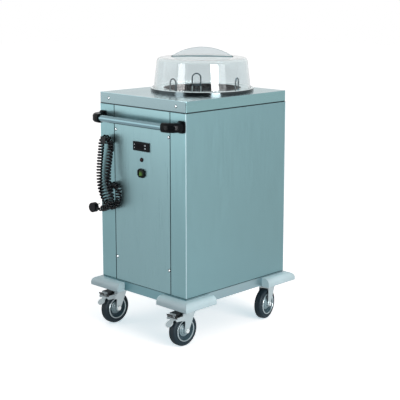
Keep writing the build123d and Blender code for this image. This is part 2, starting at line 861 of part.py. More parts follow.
with BuildPart() as switch_frame:
    with BuildSketch(facing_front(front_y)) as outline:
        with Locations((0, switch_z)):
            Rectangle(switch_width, switch_height)
        chamfer(outline.vertices(), switch_chamfer)
    extrude(amount=switch_bezel)
    with BuildSketch(facing_front(front_y)):
        with Locations((0, switch_z)):
            Rectangle(switch_case_width, switch_case_height)
    extrude(amount=-switch_case_depth)
    with BuildSketch(facing_front(front_y - switch_bezel)):
        with Locations((0, switch_z)):
            Rectangle(2 * rocker_pocket, rocker_height + 2 * rocker_gap)
    extrude(amount=-(switch_bezel + rocker_pivot_depth + rocker_pocket), mode=Mode.SUBTRACT)
    # A pin stands across the pocket for the rocker to turn on.
    with BuildSketch(Plane(origin=(0, pivot_y, switch_z), x_dir=(1, 0, 0), z_dir=(0, 0, 1))):
        Circle(2.0)
    extrude(amount=rocker_height / 2 + rocker_gap, both=True)
switch_frame.part.label = "switch_frame"
export_step(switch_frame.part, "parts/switch_frame.step")

with BuildPart() as switch_rocker:
    # Seen from above, a drum about the pivot whose front is cut to a shallow V, tilted to one side.
    rise = math.tan(math.radians(rocker_tilt))
    rocker_plane = Plane(
        origin=(0, pivot_y, switch_z),
        x_dir=(math.cos(math.radians(rocker_tilt)), math.sin(math.radians(rocker_tilt)), 0),
        z_dir=(0, 0, 1),
    )
    span = 2 * rocker_radius
    with BuildSketch(rocker_plane):
        Circle(rocker_radius)
        with BuildLine():
            Polyline(
                (-span, -rocker_waist - span * rise),
                (0, -rocker_waist),
                (span, -rocker_waist - span * rise),
                (span, -2 * span),
                (-span, -2 * span),
                close=True,
            )
        make_face(mode=Mode.SUBTRACT)
        Circle(2.0 + running_gap, mode=Mode.SUBTRACT)
    extrude(amount=rocker_height / 2, both=True)
switch_rocker.part.label = "switch_rocker"
export_step(switch_rocker.part, "parts/switch_rocker.step")

# ================================================================ plate tube and guides
slot_bottom = platform_top - platform_travel - platform_sheet - arm_height - slot_margin
slot_top = platform_top + slot_margin / 3

with BuildPart() as plate_tube:
    with BuildSketch(well_level(panel_bottom)):
        Circle(well_outer)
        Circle(well_radius, mode=Mode.SUBTRACT)
    extrude(amount=worktop_top - collar_neck - panel_bottom)
    for angle in arm_angles:
        with BuildSketch(well_level(slot_bottom, angle)):
            with Locations((well_radius, 0)):
                Rectangle(10 * well_wall, slot_width)
        extrude(amount=slot_top - slot_bottom, mode=Mode.SUBTRACT)
plate_tube.part.label = "plate_tube"
export_step(plate_tube.part, "parts/plate_tube.step")

with BuildPart() as plate_guides:
    for angle in guide_angles:
        radial = Vector(math.cos(math.radians(angle)), math.sin(math.radians(angle)), 0)
        guide_plane = Plane(
            origin=Vector(0, well_y, worktop_top) + radial * guide_distance,
            x_dir=(-radial.Y, radial.X, 0),
            z_dir=radial,
        )
        half = guide_width / 2
        shoulder = guide_top - guide_wire / 2 - half
        with BuildLine(guide_plane) as wire:
            Line((-half, -guide_foot), (-half, shoulder))
            ThreePointArc((-half, shoulder), (0, shoulder + half), (half, shoulder))
            Line((half, shoulder), (half, -guide_foot))
        with BuildSketch(Plane(origin=wire.wire() @ 0, z_dir=(0, 0, 1))):
            Circle(guide_wire / 2)
        sweep(path=wire.wire())
        for clip_level in clip_levels:
            with BuildSketch(well_level(worktop_top + clip_level, angle)):
                with Locations((well_radius, 0)):
                    Rectangle(2 * (well_radius - guide_distance), guide_width)
                Circle(well_radius - clip_gap, mode=Mode.INTERSECT)
            extrude(amount=clip_height)
plate_guides.part.label = "plate_guides"
export_step(plate_guides.part, "parts/plate_guides.step")

# ================================================================ lift platform, rods and springs
platform_radius = guide_distance - platform_gap
arm_root = platform_radius - arm_lap
carrier_inner = well_outer + carrier_gap
rod_distance = carrier_inner + rod_setback
carrier_bottom = platform_top - carrier_length

with BuildPart() as lift_platform:
    with BuildSketch(well_level(platform_top)):
        Circle(platform_radius)
    extrude(amount=-platform_rim)
    with BuildSketch(well_level(platform_top - platform_sheet)):
        Circle(platform_radius - platform_sheet)
    extrude(amount=-platform_rim, mode=Mode.SUBTRACT)
    for angle in arm_angles:
        with BuildSketch(well_level(platform_top - platform_sheet, angle)):
            with Locations(((arm_root + carrier_inner + carrier_thickness) / 2, 0)):
                Rectangle(carrier_inner + carrier_thickness - arm_root, arm_width)
        extrude(amount=-arm_height)
        with BuildSketch(well_level(carrier_bottom, angle)):
            with Locations((carrier_inner + carrier_thickness / 2, 0)):
                Rectangle(carrier_thickness, carrier_width)
        extrude(amount=carrier_length)
        with BuildSketch(well_level(carrier_bottom, angle)):
            with Locations((rod_distance, rod_side)):
                Circle(bush_radius)
        extrude(amount=bush_length)
        with BuildSketch(well_level(platform_top - bush_length, angle)):
            with Locations((rod_distance, rod_side)):
                Circle(bush_radius)
        extrude(amount=bush_length)
        with BuildSketch(well_level(carrier_bottom, angle)):
            with Locations((rod_distance, rod_side)):
                Circle(rod_diameter / 2 + running_gap)
        extrude(amount=carrier_length, mode=Mode.SUBTRACT)
        with BuildSketch(well_level(carrier_bottom, angle)):
            with Locations(((carrier_inner + rod_distance + spring_diameter / 2) / 2, spring_side)):
                Rectangle(rod_distance + spring_diameter / 2 - carrier_inner, foot_width)
        extrude(amount=foot_thickness)
lift_platform.part.label = "lift_platform"
export_step(lift_platform.part, "parts/lift_platform.step")

with BuildPart() as guide_rods:
    for angle in arm_angles:
        with BuildSketch(well_level(panel_bottom, angle)):
            with Locations((rod_distance, rod_side)):
                Circle(rod_diameter / 2)
        extrude(amount=worktop_under - panel_bottom)
guide_rods.part.label = "guide_rods"
export_step(guide_rods.part, "parts/guide_rods.step")

with BuildPart() as lift_springs:
    spring_bottom = carrier_bottom + foot_thickness
    for angle in arm_angles:
        with BuildSketch(well_level(spring_bottom, angle)):
            with Locations((rod_distance, spring_side)):
                Circle(spring_shank / 2)
        extrude(amount=worktop_under - spring_bottom)
        with BuildSketch(well_level(spring_bottom + spring_tail, angle)):
            with Locations((rod_distance, spring_side)):
                Circle(spring_diameter / 2)
        extrude(amount=worktop_under - spring_bottom - 2 * spring_tail)
lift_springs.part.label = "lift_springs"
export_step(lift_springs.part, "parts/lift_springs.step")

# ================================================================ heating element and sensor
with BuildPart() as heating_element:
    with BuildLine(well_level(panel_bottom + heater_height)) as heater_path:
        CenterArc((0, 0), heater_radius, heater_gap_angle / 2 - 90, 360 - heater_gap_angle)
    with BuildSketch(Plane(origin=heater_path.wire() @ 0, z_dir=heater_path.wire() % 0)):
        Circle(heater_wire / 2)
    sweep(path=heater_path.wire())
    for angle in arm_angles:
        with BuildSketch(well_level(panel_bottom, angle)):
            with Locations((heater_radius, 0)):
                Circle(heater_leg / 2)
        extrude(amount=heater_height - heater_wire / 4)
heating_element.part.label = "heating_element"
export_step(heating_element.part, "parts/heating_element.step")

with BuildPart() as heat_sensor:
    sensor_y = well_y - well_outer - sensor_gap - sensor_diameter / 2
    with BuildSketch(Plane(origin=(0, sensor_y, panel_bottom + sensor_height))):
        Circle(sensor_diameter / 2)
    extrude(amount=sensor_length)
    clip_front = sensor_y - sensor_diameter / 2
    with BuildSketch(Plane(origin=(0, 0, panel_bottom + sensor_height + sensor_length / 3))):
        with Locations((0, (clip_front + well_y - well_radius) / 2)):
            Rectangle(2 * sensor_diameter, well_y - well_radius - clip_front)
        with Locations((0, well_y)):
            Circle(well_outer + clip_gap, mode=Mode.SUBTRACT)
    extrude(amount=sensor_length / 3)
heat_sensor.part.label = "heat_sensor"
export_step(heat_sensor.part, "parts/heat_sensor.step")

# ================================================================ cord hook and gland
with BuildPart() as cord_hook:
    with BuildSketch(facing_side(hook_x - hook_width / 2)):
        with BuildLine():
            Polyline(
                (front_y, hook_top),
                (front_y - hook_reach + hook_sheet, hook_top),
                (front_y - hook_reach + hook_sheet, hook_top + hook_lip),
                (front_y - hook_reach, hook_top + hook_lip),
                (front_y - hook_reach, hook_top - hook_sheet),
                (front_y - hook_sheet, hook_top - hook_sheet),
                (front_y - hook_sheet, hook_top - hook_back),
                (front_y, hook_top - hook_back),
                close=True,
            )
        make_face()
    extrude(amount=hook_width)
cord_hook.part.label = "cord_hook"
export_step(cord_hook.part, "parts/cord_hook.step")

with BuildPart() as cord_gland:
    gland_length = front_y - cord_start.Y
    with BuildSketch(facing_front(front_y)):
        with Locations((gland_x, gland_z)):
            Circle(gland_radius)
    extrude(amount=gland_length / 2)
    with BuildSketch(facing_front(front_y)):
        with Locations((gland_x, gland_z)):
            Circle(gland_tip_radius)
    extrude(amount=gland_length)
    with BuildSketch(facing_front(front_y)):
        with Locations((gland_x, gland_z)):
            Circle(gland_thread_radius)
    extrude(amount=-(sheet + gland_nut_thickness))
    with BuildSketch(facing_front(front_y + sheet)):
        with Locations((gland_x, gland_z)):
            RegularPolygon(gland_nut_radius, 6)
    extrude(amount=-gland_nut_thickness)
cord_gland.part.label = "cord_gland"
export_step(cord_gland.part, "parts/cord_gland.step")

# ================================================================ curly cord, its tail and the plug
with BuildPart() as curly_cord:
    with BuildLine() as curls:
        Line(cord_start, curl_points[0])
        for start, start_way, end, end_way in zip(curl_points, curl_ways, curl_points[1:], curl_ways[1:]):
            joint, joint_way = biarc_joint(start, start_way, end, end_way)
            TangentArc(start, joint, tangent=start_way)
            TangentArc(joint, end, tangent=joint_way)
        TangentArc(curl_points[-1], cord_turn_off, tangent=curl_ways[-1])
        Line(cord_turn_off, cord_end)
    with BuildSketch(Plane(origin=cord_start, z_dir=OUTWARD)):
        Circle(cord_diameter / 2)
    sweep(path=curls.wire())
curly_cord.part.label = "curly_cord"
export_step(curly_cord.part, "parts/curly_cord.step")
tube_volume = math.pi * cord_diameter ** 2 / 4 * curls.wire().length
print(f"curly cord: volume {curly_cord.part.volume:.0f} mm3, section times length {tube_volume:.0f} mm3")

tail_plane = Plane(origin=cord_end, z_dir=end_along)
with BuildPart() as cord_tail:
    with BuildSketch(tail_plane):
        Circle(cord_diameter / 2)
    extrude(amount=tail_length)
cord_tail.part.label = "cord_tail"
export_step(cord_tail.part, "parts/cord_tail.step")

boot_start = cord_end + end_along * tail_length
plug_centre = boot_start + end_along * (boot_length + plug_radius)
plug_plane = Plane(origin=plug_centre, x_dir=end_along, z_dir=end_outward)

with BuildPart() as plug_body:
    with BuildSketch(plug_plane.offset(-plug_thickness / 2)):
        Circle(plug_radius)
    extrude(amount=plug_thickness)
    fillet(plug_body.edges().filter_by(GeomType.CIRCLE), plug_round)
    with BuildSketch(Plane(origin=boot_start, z_dir=end_along)):
        Circle(boot_tip_radius)
    with BuildSketch(Plane(origin=boot_start + end_along * (boot_length + plug_round), z_dir=end_along)):
        Circle(boot_radius)
    loft()
plug_body.part.label = "plug_body"
export_step(plug_body.part, "parts/plug_body.step")

with BuildPart() as plug_pins:
    with BuildSketch(plug_plane.offset(-plug_thickness / 2)):
        with Locations((0, -pin_half_spacing), (0, pin_half_spacing)):
            Circle(pin_radius)
    extrude(amount=-pin_length)
plug_pins.part.label = "plug_pins"
export_step(plug_pins.part, "parts/plug_pins.step")


# ================================================================ castors
def castor_axis(hand, end, turn):
    """Plane on the floor under a castor's swivel axis, its local -Y along the trail."""
    angle = math.radians(turn)
    return Plane(
        origin=(hand * (body_width / 2 - castor_side), body_y + end * (body_depth / 2 - castor_end), 0),
        x_dir=(math.cos(angle), math.sin(angle), 0),
        z_dir=(0, 0, 1),
    )


def castor_side_plane(frame, across):
    """Upright plane beside a castor's wheel: local x runs along the castor, local y is up."""
    return Plane(origin=frame.from_local_coords((across, 0, 0)), x_dir=frame.y_dir, z_dir=frame.x_dir)


def wheel_section_plane(frame):
    """Upright plane through a wheel's centre: local x is the axle, local y is up."""
    centre = frame.from_local_coords((0, -castor_trail, wheel_radius))
    return Plane(origin=centre, x_dir=frame.x_dir, z_dir=frame.y_dir * -1)


with BuildPart() as castor_plates:
    for hand, end, turn, braked in castors.values():
        frame = castor_axis(hand, end, 0.0)
        with BuildSketch(frame.offset(castor_height)):
            RectangleRounded(castor_plate, castor_plate, 6)
        extrude(amount=-castor_plate_thickness)
        with BuildSketch(frame.offset(castor_height - castor_plate_thickness)):
            Circle(race_radius)
        extrude(amount=-race_height)
        with BuildSketch(frame.offset(castor_height - castor_plate_thickness)):
            with GridLocations(2 * castor_bolt_side, 2 * castor_bolt_side, 2, 2):
                RegularPolygon(castor_bolt_radius, 6)
        extrude(amount=-castor_bolt_height)
        with BuildSketch(frame.offset(crown_top + swivel_gap)):
            Circle(kingpin_radius)
        extrude(amount=-(crown_height + 2 * swivel_gap))
        with BuildSketch(frame.offset(crown_bottom - swivel_gap)):
            Circle(kingpin_head_radius)
        extrude(amount=-kingpin_head_height)
castor_plates.part.label = "castor_plates"
export_step(castor_plates.part, "parts/castor_plates.step")

for place, (hand, end, turn, braked) in castors.items():
    frame = castor_axis(hand, end, turn)
    wheel_plane = wheel_section_plane(frame)
    wheel_axis = Axis(wheel_plane.origin, frame.x_dir)
    front = fork_front_braked if braked else fork_front

    with BuildPart() as castor_fork:
        with BuildSketch(frame.offset(crown_bottom)):
            Circle(crown_radius)
        extrude(amount=crown_height)
        with BuildSketch(frame.offset(crown_bottom)):
            with Locations((0, (fork_rear - fork_front) / 2)):
                Rectangle(2 * fork_outer, fork_rear + fork_front)
        extrude(amount=crown_plate_thickness)
        with BuildSketch(frame.offset(crown_bottom)):
            Circle(kingpin_radius + running_gap)
        extrude(amount=crown_height, mode=Mode.SUBTRACT)
        for side in (-1, 1):
            with BuildSketch(castor_side_plane(frame, side * fork_inner)):
                with BuildLine():
                    cheek_top = crown_bottom + crown_plate_thickness
                    Line((-fork_front, cheek_top), (fork_rear, cheek_top))
                    CenterArc((-castor_trail, wheel_radius), fork_nose, 0, 360)
                make_hull()
                if braked:
                    with BuildLine():
                        Polyline(
                            (-front, pedal_pivot[1] - pedal_hub / 2),
                            (-front, pedal_pivot[1] + pedal_hub / 2),
                            (-fork_front, cheek_top),
                            (0, cheek_top),
                            (-fork_front, pedal_pivot[1] - 2 * pedal_hub),
                            close=True,
                        )
                    make_face()
                with Locations((-castor_trail, wheel_radius)):
                    Circle(axle_radius + screw_gap, mode=Mode.SUBTRACT)
                if braked:
                    with Locations(pedal_pivot):
                        Circle(pedal_pin_radius + running_gap, mode=Mode.SUBTRACT)
            extrude(amount=side * fork_thickness)
    castor_fork.part.label = f"fork_{place}"
    export_step(castor_fork.part, f"parts/fork_{place}.step")

    with BuildPart() as axle:
        with BuildSketch(castor_side_plane(frame, -fork_outer)):
            with Locations((-castor_trail, wheel_radius)):
                Circle(axle_radius)
        extrude(amount=2 * fork_outer)
        for side in (-1, 1):
            with BuildSketch(castor_side_plane(frame, side * fork_outer)):
                with Locations((-castor_trail, wheel_radius)):
                    RegularPolygon(axle_head_flat, 6, major_radius=False)
            extrude(amount=side * axle_head_height)
    axle.part.label = f"axle_{place}"
    export_step(axle.part, f"parts/axle_{place}.step")

    with BuildPart() as wheel_rim:
        hub_half = fork_inner - swivel_gap
        with BuildSketch(wheel_plane):
            with BuildLine():
                Polyline(
                    (-hub_half, axle_radius + running_gap),
                    (hub_half, axle_radius + running_gap),
                    (hub_half, hub_radius - 2),
                    (web_thickness / 2, hub_radius),
                    (web_thickness / 2, tyre_inner_radius - 2 * rim_ring),
                    (rim_width / 2 - 2, tyre_inner_radius - rim_ring),
                    (rim_width / 2, tyre_inner_radius - rim_ring),
                    (rim_width / 2, tyre_inner_radius),
                    (-rim_width / 2, tyre_inner_radius),
                    (-rim_width / 2, tyre_inner_radius - rim_ring),
                    (-rim_width / 2 + 2, tyre_inner_radius - rim_ring),
                    (-web_thickness / 2, tyre_inner_radius - 2 * rim_ring),
                    (-web_thickness / 2, hub_radius),
                    (-hub_half, hub_radius - 2),
                    close=True,
                )
            make_face()
        revolve(axis=wheel_axis)
    wheel_rim.part.label = f"rim_{place}"
    export_step(wheel_rim.part, f"parts/rim_{place}.step")

    with BuildPart() as tyre:
        with BuildSketch(wheel_plane) as section:
            with Locations((0, (tyre_inner_radius + wheel_radius) / 2)):
                Rectangle(tyre_width, wheel_radius - tyre_inner_radius)
            fillet(section.vertices().group_by(Axis.Y)[-1], tyre_shoulder)
            fillet(section.vertices().group_by(Axis.Y)[0], (tyre_width - rim_width) / 2)
        revolve(axis=wheel_axis)
    tyre.part.label = f"tyre_{place}"
    export_step(tyre.part, f"parts/tyre_{place}.step")

    if braked:
        with BuildPart() as brake_pedal:
            for side in (-1, 1):
                with BuildSketch(castor_side_plane(frame, side * pedal_arm_inner)):
                    with BuildLine():
                        CenterArc(pedal_pivot, pedal_hub, 0, 360)
                        CenterArc(pedal_heel, pedal_heel_radius, 0, 360)
                        CenterArc((pedal_reach, pedal_pivot[1]), pedal_tip_radius, 0, 360)
                    make_hull()
                extrude(amount=side * pedal_arm_thickness)
                with BuildSketch(castor_side_plane(frame, side * (fork_inner + swivel_gap))):
                    with Locations(pedal_pivot):
                        Circle(pedal_pin_radius)
                extrude(amount=side * (pedal_arm_outer - fork_inner - swivel_gap))
            with BuildSketch(castor_side_plane(frame, 0)):
                with Locations((pedal_reach, pedal_pivot[1] - pedal_plate_drop)):
                    Rectangle(pedal_plate_thickness, pedal_plate_height, align=(Align.CENTER, Align.MIN))
            extrude(amount=pedal_arm_outer, both=True)
            with BuildSketch(castor_side_plane(frame, 0)):
                toe_foot = pedal_pivot[1] + pedal_toe_lift
                with BuildLine():
                    Polyline(
                        (pedal_reach, toe_foot),
                        (pedal_reach - pedal_toe_reach, toe_foot + pedal_toe_rise),
                        (pedal_reach - pedal_toe_reach, toe_foot + pedal_toe_rise + pedal_toe_thickness),
                        (pedal_reach, toe_foot + pedal_toe_thickness),
                        close=True,
                    )
                make_face()
            extrude(amount=pedal_tab_half_width, both=True)
            with BuildSketch(castor_side_plane(frame, 0)):
                pad_y, pad_z = pedal_pad_place
                with BuildLine():
                    Polyline(
                        (pedal_reach, pedal_pivot[1] - pedal_plate_drop),
                        (pad_y, pad_z - pedal_stem_height / 2),
                        (pad_y, pad_z + pedal_stem_height / 2),
                        (pedal_reach, pedal_pivot[1] - pedal_plate_drop + 2 * pedal_stem_height),
                        close=True,
                    )
                make_face()
            extrude(amount=pedal_tab_half_width / 2, both=True)
            pad_origin = frame.from_local_coords((0, pad_y, pad_z))
            pad_normal = frame.y_dir * -0.6 + frame.z_dir * 0.8
            with BuildSketch(Plane(origin=pad_origin, x_dir=frame.x_dir, z_dir=pad_normal)):
                Circle(pedal_pad_radius)
            extrude(amount=pedal_pad_thickness)
            with BuildSketch(castor_side_plane(frame, 0)):
                shoe_middle = (pedal_reach + pedal_shoe_inner) / 2
                with Locations((shoe_middle, pedal_pivot[1] + pedal_shoe_lift)):
                    Rectangle(
                        pedal_shoe_inner - pedal_reach,
                        pedal_shoe_height,
                        align=(Align.CENTER, Align.MIN),
                    )
            extrude(amount=pedal_tab_half_width, both=True)
        brake_pedal.part.label = f"brake_pedal_{place}"
        export_step(brake_pedal.part, f"parts/brake_pedal_{place}.step")
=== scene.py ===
"""Looks of a plate dispenser cart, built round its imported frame.

Lengths are in metres, +Z is up, and the side with the push handle faces -Y.
"""

import json
import logging
import math
from contextlib import contextmanager
from dataclasses import dataclass, field
from enum import Enum
from typing import Iterator, Sequence, Union

import bpy
from mathutils import Matrix, Vector


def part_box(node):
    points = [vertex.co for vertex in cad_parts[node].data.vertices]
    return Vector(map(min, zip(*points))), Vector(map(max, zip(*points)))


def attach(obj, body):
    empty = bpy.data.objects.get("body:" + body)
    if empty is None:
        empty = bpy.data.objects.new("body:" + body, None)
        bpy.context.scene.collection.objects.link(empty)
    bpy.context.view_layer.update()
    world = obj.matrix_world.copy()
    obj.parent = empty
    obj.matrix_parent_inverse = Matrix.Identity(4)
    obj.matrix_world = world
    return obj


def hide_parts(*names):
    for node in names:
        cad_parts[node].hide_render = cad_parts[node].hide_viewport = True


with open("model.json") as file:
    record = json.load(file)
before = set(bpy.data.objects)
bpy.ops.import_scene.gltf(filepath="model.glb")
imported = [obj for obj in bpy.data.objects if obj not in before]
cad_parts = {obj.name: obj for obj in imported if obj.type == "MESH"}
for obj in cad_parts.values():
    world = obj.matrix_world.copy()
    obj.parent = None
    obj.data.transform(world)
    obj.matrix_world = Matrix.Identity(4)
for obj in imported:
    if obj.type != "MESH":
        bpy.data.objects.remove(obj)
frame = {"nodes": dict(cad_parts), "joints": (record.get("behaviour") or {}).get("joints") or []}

LOG = logging.getLogger("cart")
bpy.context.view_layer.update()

Colour = tuple[float, float, float]
Profile = Sequence[tuple[float, float]]
Piece = bpy.types.Object
Material = bpy.types.Material
Tree = bpy.types.NodeTree
Socket = bpy.types.NodeSocket
Feed = Union[Socket, Colour, float]
MERGE_DISTANCE = 1e-5
POLE_RADIUS = 2e-6
SMOOTH_ANGLE = math.radians(35.0)
MM_PER_METRE = 1000
FORWARD = (0, -1, 0)
PANEL_LOW, PANEL_HIGH = (Vector(corner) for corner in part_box("service_panel"))
TOP_LOW, TOP_HIGH = (Vector(corner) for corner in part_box("worktop"))
REAR_HIGH = Vector(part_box("back_panel")[1])


class Corner(Enum):
    """The four corners of the cart, as side and end."""

    FRONT_LEFT = "front_left"
    FRONT_RIGHT = "front_right"
    REAR_LEFT = "rear_left"
    REAR_RIGHT = "rear_right"

    @property
    def braked(self) -> bool:
        """Whether the castor there has a brake pedal."""
        return self in (Corner.FRONT_LEFT, Corner.FRONT_RIGHT)


class Grain(Enum):
    """The direction in which a sheet was brushed, as stretches along X, Y and Z."""

    UPRIGHT = (520.0, 520.0, 7.0)
    ACROSS = (7.0, 7.0, 520.0)
    ALONG = (520.0, 7.0, 520.0)


# ---------------------------------------------------------------------------- shaders
def emptied(owner: Union[Material, bpy.types.World], kind: str) -> tuple[Tree, Socket]:
    """Clears the nodes of a material or a world and gives it an output.

    Args:
        owner: The material or the world.
        kind: The output node's type.

    Returns:
        The node tree, and the output's socket for a surface.
    """
    owner.use_nodes = True
    tree = owner.node_tree
    tree.nodes.clear()
    return tree, tree.nodes.new(kind).inputs["Surface"]


class Shader:
    """A material's node tree while it is put together."""

    def __init__(self, name: str) -> None:
        """Makes an empty material with a Principled shader and Object coordinates.

        Args:
            name: The material's name.
        """
        self.material = bpy.data.materials.new(name)
        self.tree, output = emptied(self.material, "ShaderNodeOutputMaterial")
        self.surface = self.tree.nodes.new("ShaderNodeBsdfPrincipled")
        self.tree.links.new(self.surface.outputs["BSDF"], output)
        self.place = self.tree.nodes.new("ShaderNodeTexCoord").outputs["Object"]

    def set(self, **sockets: object) -> None:
        """Sets the Principled shader's own sockets, with underscores for spaces in their names."""
        for name, value in sockets.items():
            self.surface.inputs[name.replace("_", " ")].default_value = value

    def link(self, source: Socket, target: str) -> None:
        """Joins an output to one of the Principled shader's sockets."""
        self.tree.links.new(source, self.surface.inputs[target])

    def feed(self, target: Socket, value: Feed) -> None:
        """Fills a socket.

        Args:
            target: The socket.
            value: An output to join to it, or its own colour or number.
        """
        if isinstance(value, Socket):
            self.tree.links.new(value, target)
        else:
            target.default_value = (*value, 1.0) if isinstance(value, tuple) else value

    def maths(self, operation: str, first: Feed, second: Feed = 0.0) -> Socket:
        """Calculates with one or two values.

        Args:
            operation: The Math node's operation.
            first: The first value.
            second: The second value, where the operation has one.

        Returns:
            The result.
        """
        node = self.tree.nodes.new("ShaderNodeMath")
        node.operation = operation
        self.feed(node.inputs[0], first)
        self.feed(node.inputs[1], second)
        return node.outputs[0]

    def axis(self, name: str) -> Socket:
        """Reads one Object coordinate.

        Args:
            name: X, Y or Z.

        Returns:
            The coordinate.
        """
        parts = self.tree.nodes.new("ShaderNodeSeparateXYZ")
        self.tree.links.new(self.place, parts.inputs[0])
        return parts.outputs[name]

    def noise(self, scale: Sequence[float], detail: float, roughness: float = 0.5) -> Socket:
        """A noise pattern on Object coordinates.

        Args:
            scale: How fine the pattern is along X, Y and Z, per metre.
            detail: How many octaves it has.
            roughness: How strong the finer octaves are.

        Returns:
            The output from 0 to 1.
        """
        mapping = self.tree.nodes.new("ShaderNodeMapping")
        mapping.inputs["Scale"].default_value = scale
        self.tree.links.new(self.place, mapping.inputs["Vector"])
        texture = self.tree.nodes.new("ShaderNodeTexNoise")
        texture.inputs["Scale"].default_value = 1.0
        texture.inputs["Detail"].default_value = detail
        texture.inputs["Roughness"].default_value = roughness
        self.tree.links.new(mapping.outputs["Vector"], texture.inputs["Vector"])
        return texture.outputs["Fac"]

    def ranged(
        self,
        source: Socket,
        low: float,
        high: float,
        middle: tuple[float, float] = (0.3, 0.7),
        smooth: bool = False,
    ) -> Socket:
        """Spreads a stretch of a pattern from one value to another.

        Args:
            source: The pattern.
            low: The value at the stretch's start.
            high: The value at its end.
            middle: The stretch of the pattern that is spread.
            smooth: Whether both ends are eased.

        Returns:
            The spread pattern.
        """
        node = self.tree.nodes.new("ShaderNodeMapRange")
        if smooth:
            node.interpolation_type = "SMOOTHSTEP"
        ends = {"From Min": middle[0], "From Max": middle[1], "To Min": low, "To Max": high}
        for name, value in ends.items():
            node.inputs[name].default_value = value
        self.tree.links.new(source, node.inputs["Value"])
        return node.outputs["Result"]

    def blended(self, source: Socket, dark: Feed, light: Feed) -> Socket:
        """A colour between two colours.

        Args:
            source: Where it lies between them, from 0 to 1.
            dark: The colour at 0.
            light: The colour at 1.

        Returns:
            The colour.
        """
        mix = self.tree.nodes.new("ShaderNodeMix")
        mix.data_type = "RGBA"
        self.feed(mix.inputs["A"], dark)
        self.feed(mix.inputs["B"], light)
        self.tree.links.new(source, mix.inputs["Factor"])
        return mix.outputs["Result"]

    def toned(self, source: Socket, colour: Colour, dark: float, light: float = 1.0) -> Socket:
        """A colour between a darker and a lighter shade of it, by a value from 0 to 1."""
        return self.blended(source, shaded(colour, dark), shaded(colour, light))

    def painted(self, tone: Feed, regions: Sequence["Region"]) -> Feed:
        """Lays other colours over a colour.

        Args:
            tone: The colour below.
            regions: Where each other colour lies; the last one lies on top.

        Returns:
            The colour.
        """
        for region in regions:
            tone = self.blended(region.mask(self), tone, region.colour)
        return tone

    def roughened(self, source: Socket, roughness: float, less: float, more: float) -> None:
        """Gives the surface a roughness that a pattern varies, down by less and up by more."""
        self.link(self.ranged(source, roughness - less, roughness + more), "Roughness")

    def bump(self, source: Socket, distance: float, strength: float = 0.5) -> None:
        """Raises the surface by a pattern.

        Args:
            source: The pattern.
            distance: Height from a value of 0 to one of 1, in metres.
            strength: Share of that height that shows.
        """
        node = self.tree.nodes.new("ShaderNodeBump")
        node.inputs["Distance"].default_value = distance
        node.inputs["Strength"].default_value = strength
        self.tree.links.new(source, node.inputs["Height"])
        self.link(node.outputs["Normal"], "Normal")


def shaded(colour: Colour, factor: float) -> Colour:
    """A colour made lighter or darker by a factor."""
    return tuple(min(1.0, part * factor) for part in colour)


@dataclass(frozen=True)
class Band:
    """A stretch along one axis, or the same stretch on both sides of the middle."""

    axis: str
    low: float
    high: float
    mirrored: bool = False

    def mask(self, shader: Shader) -> Socket:
        """Marks the stretch.

        Args:
            shader: The shader that asks.

        Returns:
            1 inside the stretch and 0 outside it.
        """
        value = shader.axis(self.axis)
        if self.mirrored:
            value = shader.maths("ABSOLUTE", value)
        above = shader.maths("GREATER_THAN", value, self.low)
        return shader.maths("MULTIPLY", above, shader.maths("LESS_THAN", value, self.high))


@dataclass(frozen=True)
class Region:
    """A box on a surface with another colour, of its own or of painted light and shade."""

    colour: Colour
    bands: tuple[Band, ...]

    def mask(self, shader: Shader) -> Socket:
        """Marks the box.

        Args:
            shader: The shader that asks.

        Returns:
            1 inside the box and 0 outside it.
        """
        inside = self.bands[0].mask(shader)
        for band in self.bands[1:]:
            inside = shader.maths("MULTIPLY", inside, band.mask(shader))
        return inside


# ---------------------------------------------------------------------------- painted light and shade
# Painted light and shade: painted shade in seams finer than a pixel, painted highlights on folds,
# and parts of one node in the lighter and darker tones that light and reflection give them.
# painted shade: the dark colour of the seams and of the edge under the worktop's lip
PAINTED_SHADE: Colour = (0.004, 0.02, 0.026)
# painted highlight: the bright colour of the folded corners
PAINTED_GLINT: Colour = (0.5, 0.66, 0.7)
BEYOND = 1.0  # a coordinate past the whole cart
SEAM = 0.0015  # between a panel and the side panels' returns
LINE = 0.0013  # reach of the painted shade on either side of a seam
FOLD = 0.002  # width of the painted highlight on a folded corner
CORNER_SHADE = 0.0032  # width of the painted shade on the worktop's front corners
REAR_FROM = 0.1  # the rear returns lie behind this Y
COLLAR_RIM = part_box("collar_ring")[1][2] - 0.0022  # the collar's skirt below this gets a painted dark reflection
LIP_TOP = TOP_HIGH.z - 0.0012  # the worktop's lip lies below this
LIP_FRONT = TOP_LOW.y + 0.0005  # the lip's front face lies before this
GUIDE_FOOT = TOP_HIGH.z + 0.001  # the guide wires are painted light below this
CHASSIS_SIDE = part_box("base_frame")[1][0] - 0.0008  # the chassis's outer sides lie past this

OUTER_SIDES = Band("X", TOP_HIGH.x - FOLD, BEYOND, True)
LIP = Band("Z", 0.0, LIP_TOP)
# painted shade along the seams at the panels' tops and bottoms
SEAM_SHADE_ENDS = tuple(
    Region(PAINTED_SHADE, (Band("Z", height - LINE, height + LINE),))
    for height in (PANEL_HIGH.z, PANEL_LOW.z)
)
# painted shade along the seams at the service and back panels' sides
SERVICE_SEAM_SHADE = SEAM_SHADE_ENDS + (Region(PAINTED_SHADE, (Band("X", PANEL_HIGH.x - LINE, BEYOND, True),)),)
REAR_SEAM_SHADE = SEAM_SHADE_ENDS + (Region(PAINTED_SHADE, (Band("X", REAR_HIGH.x - LINE, BEYOND, True),)),)
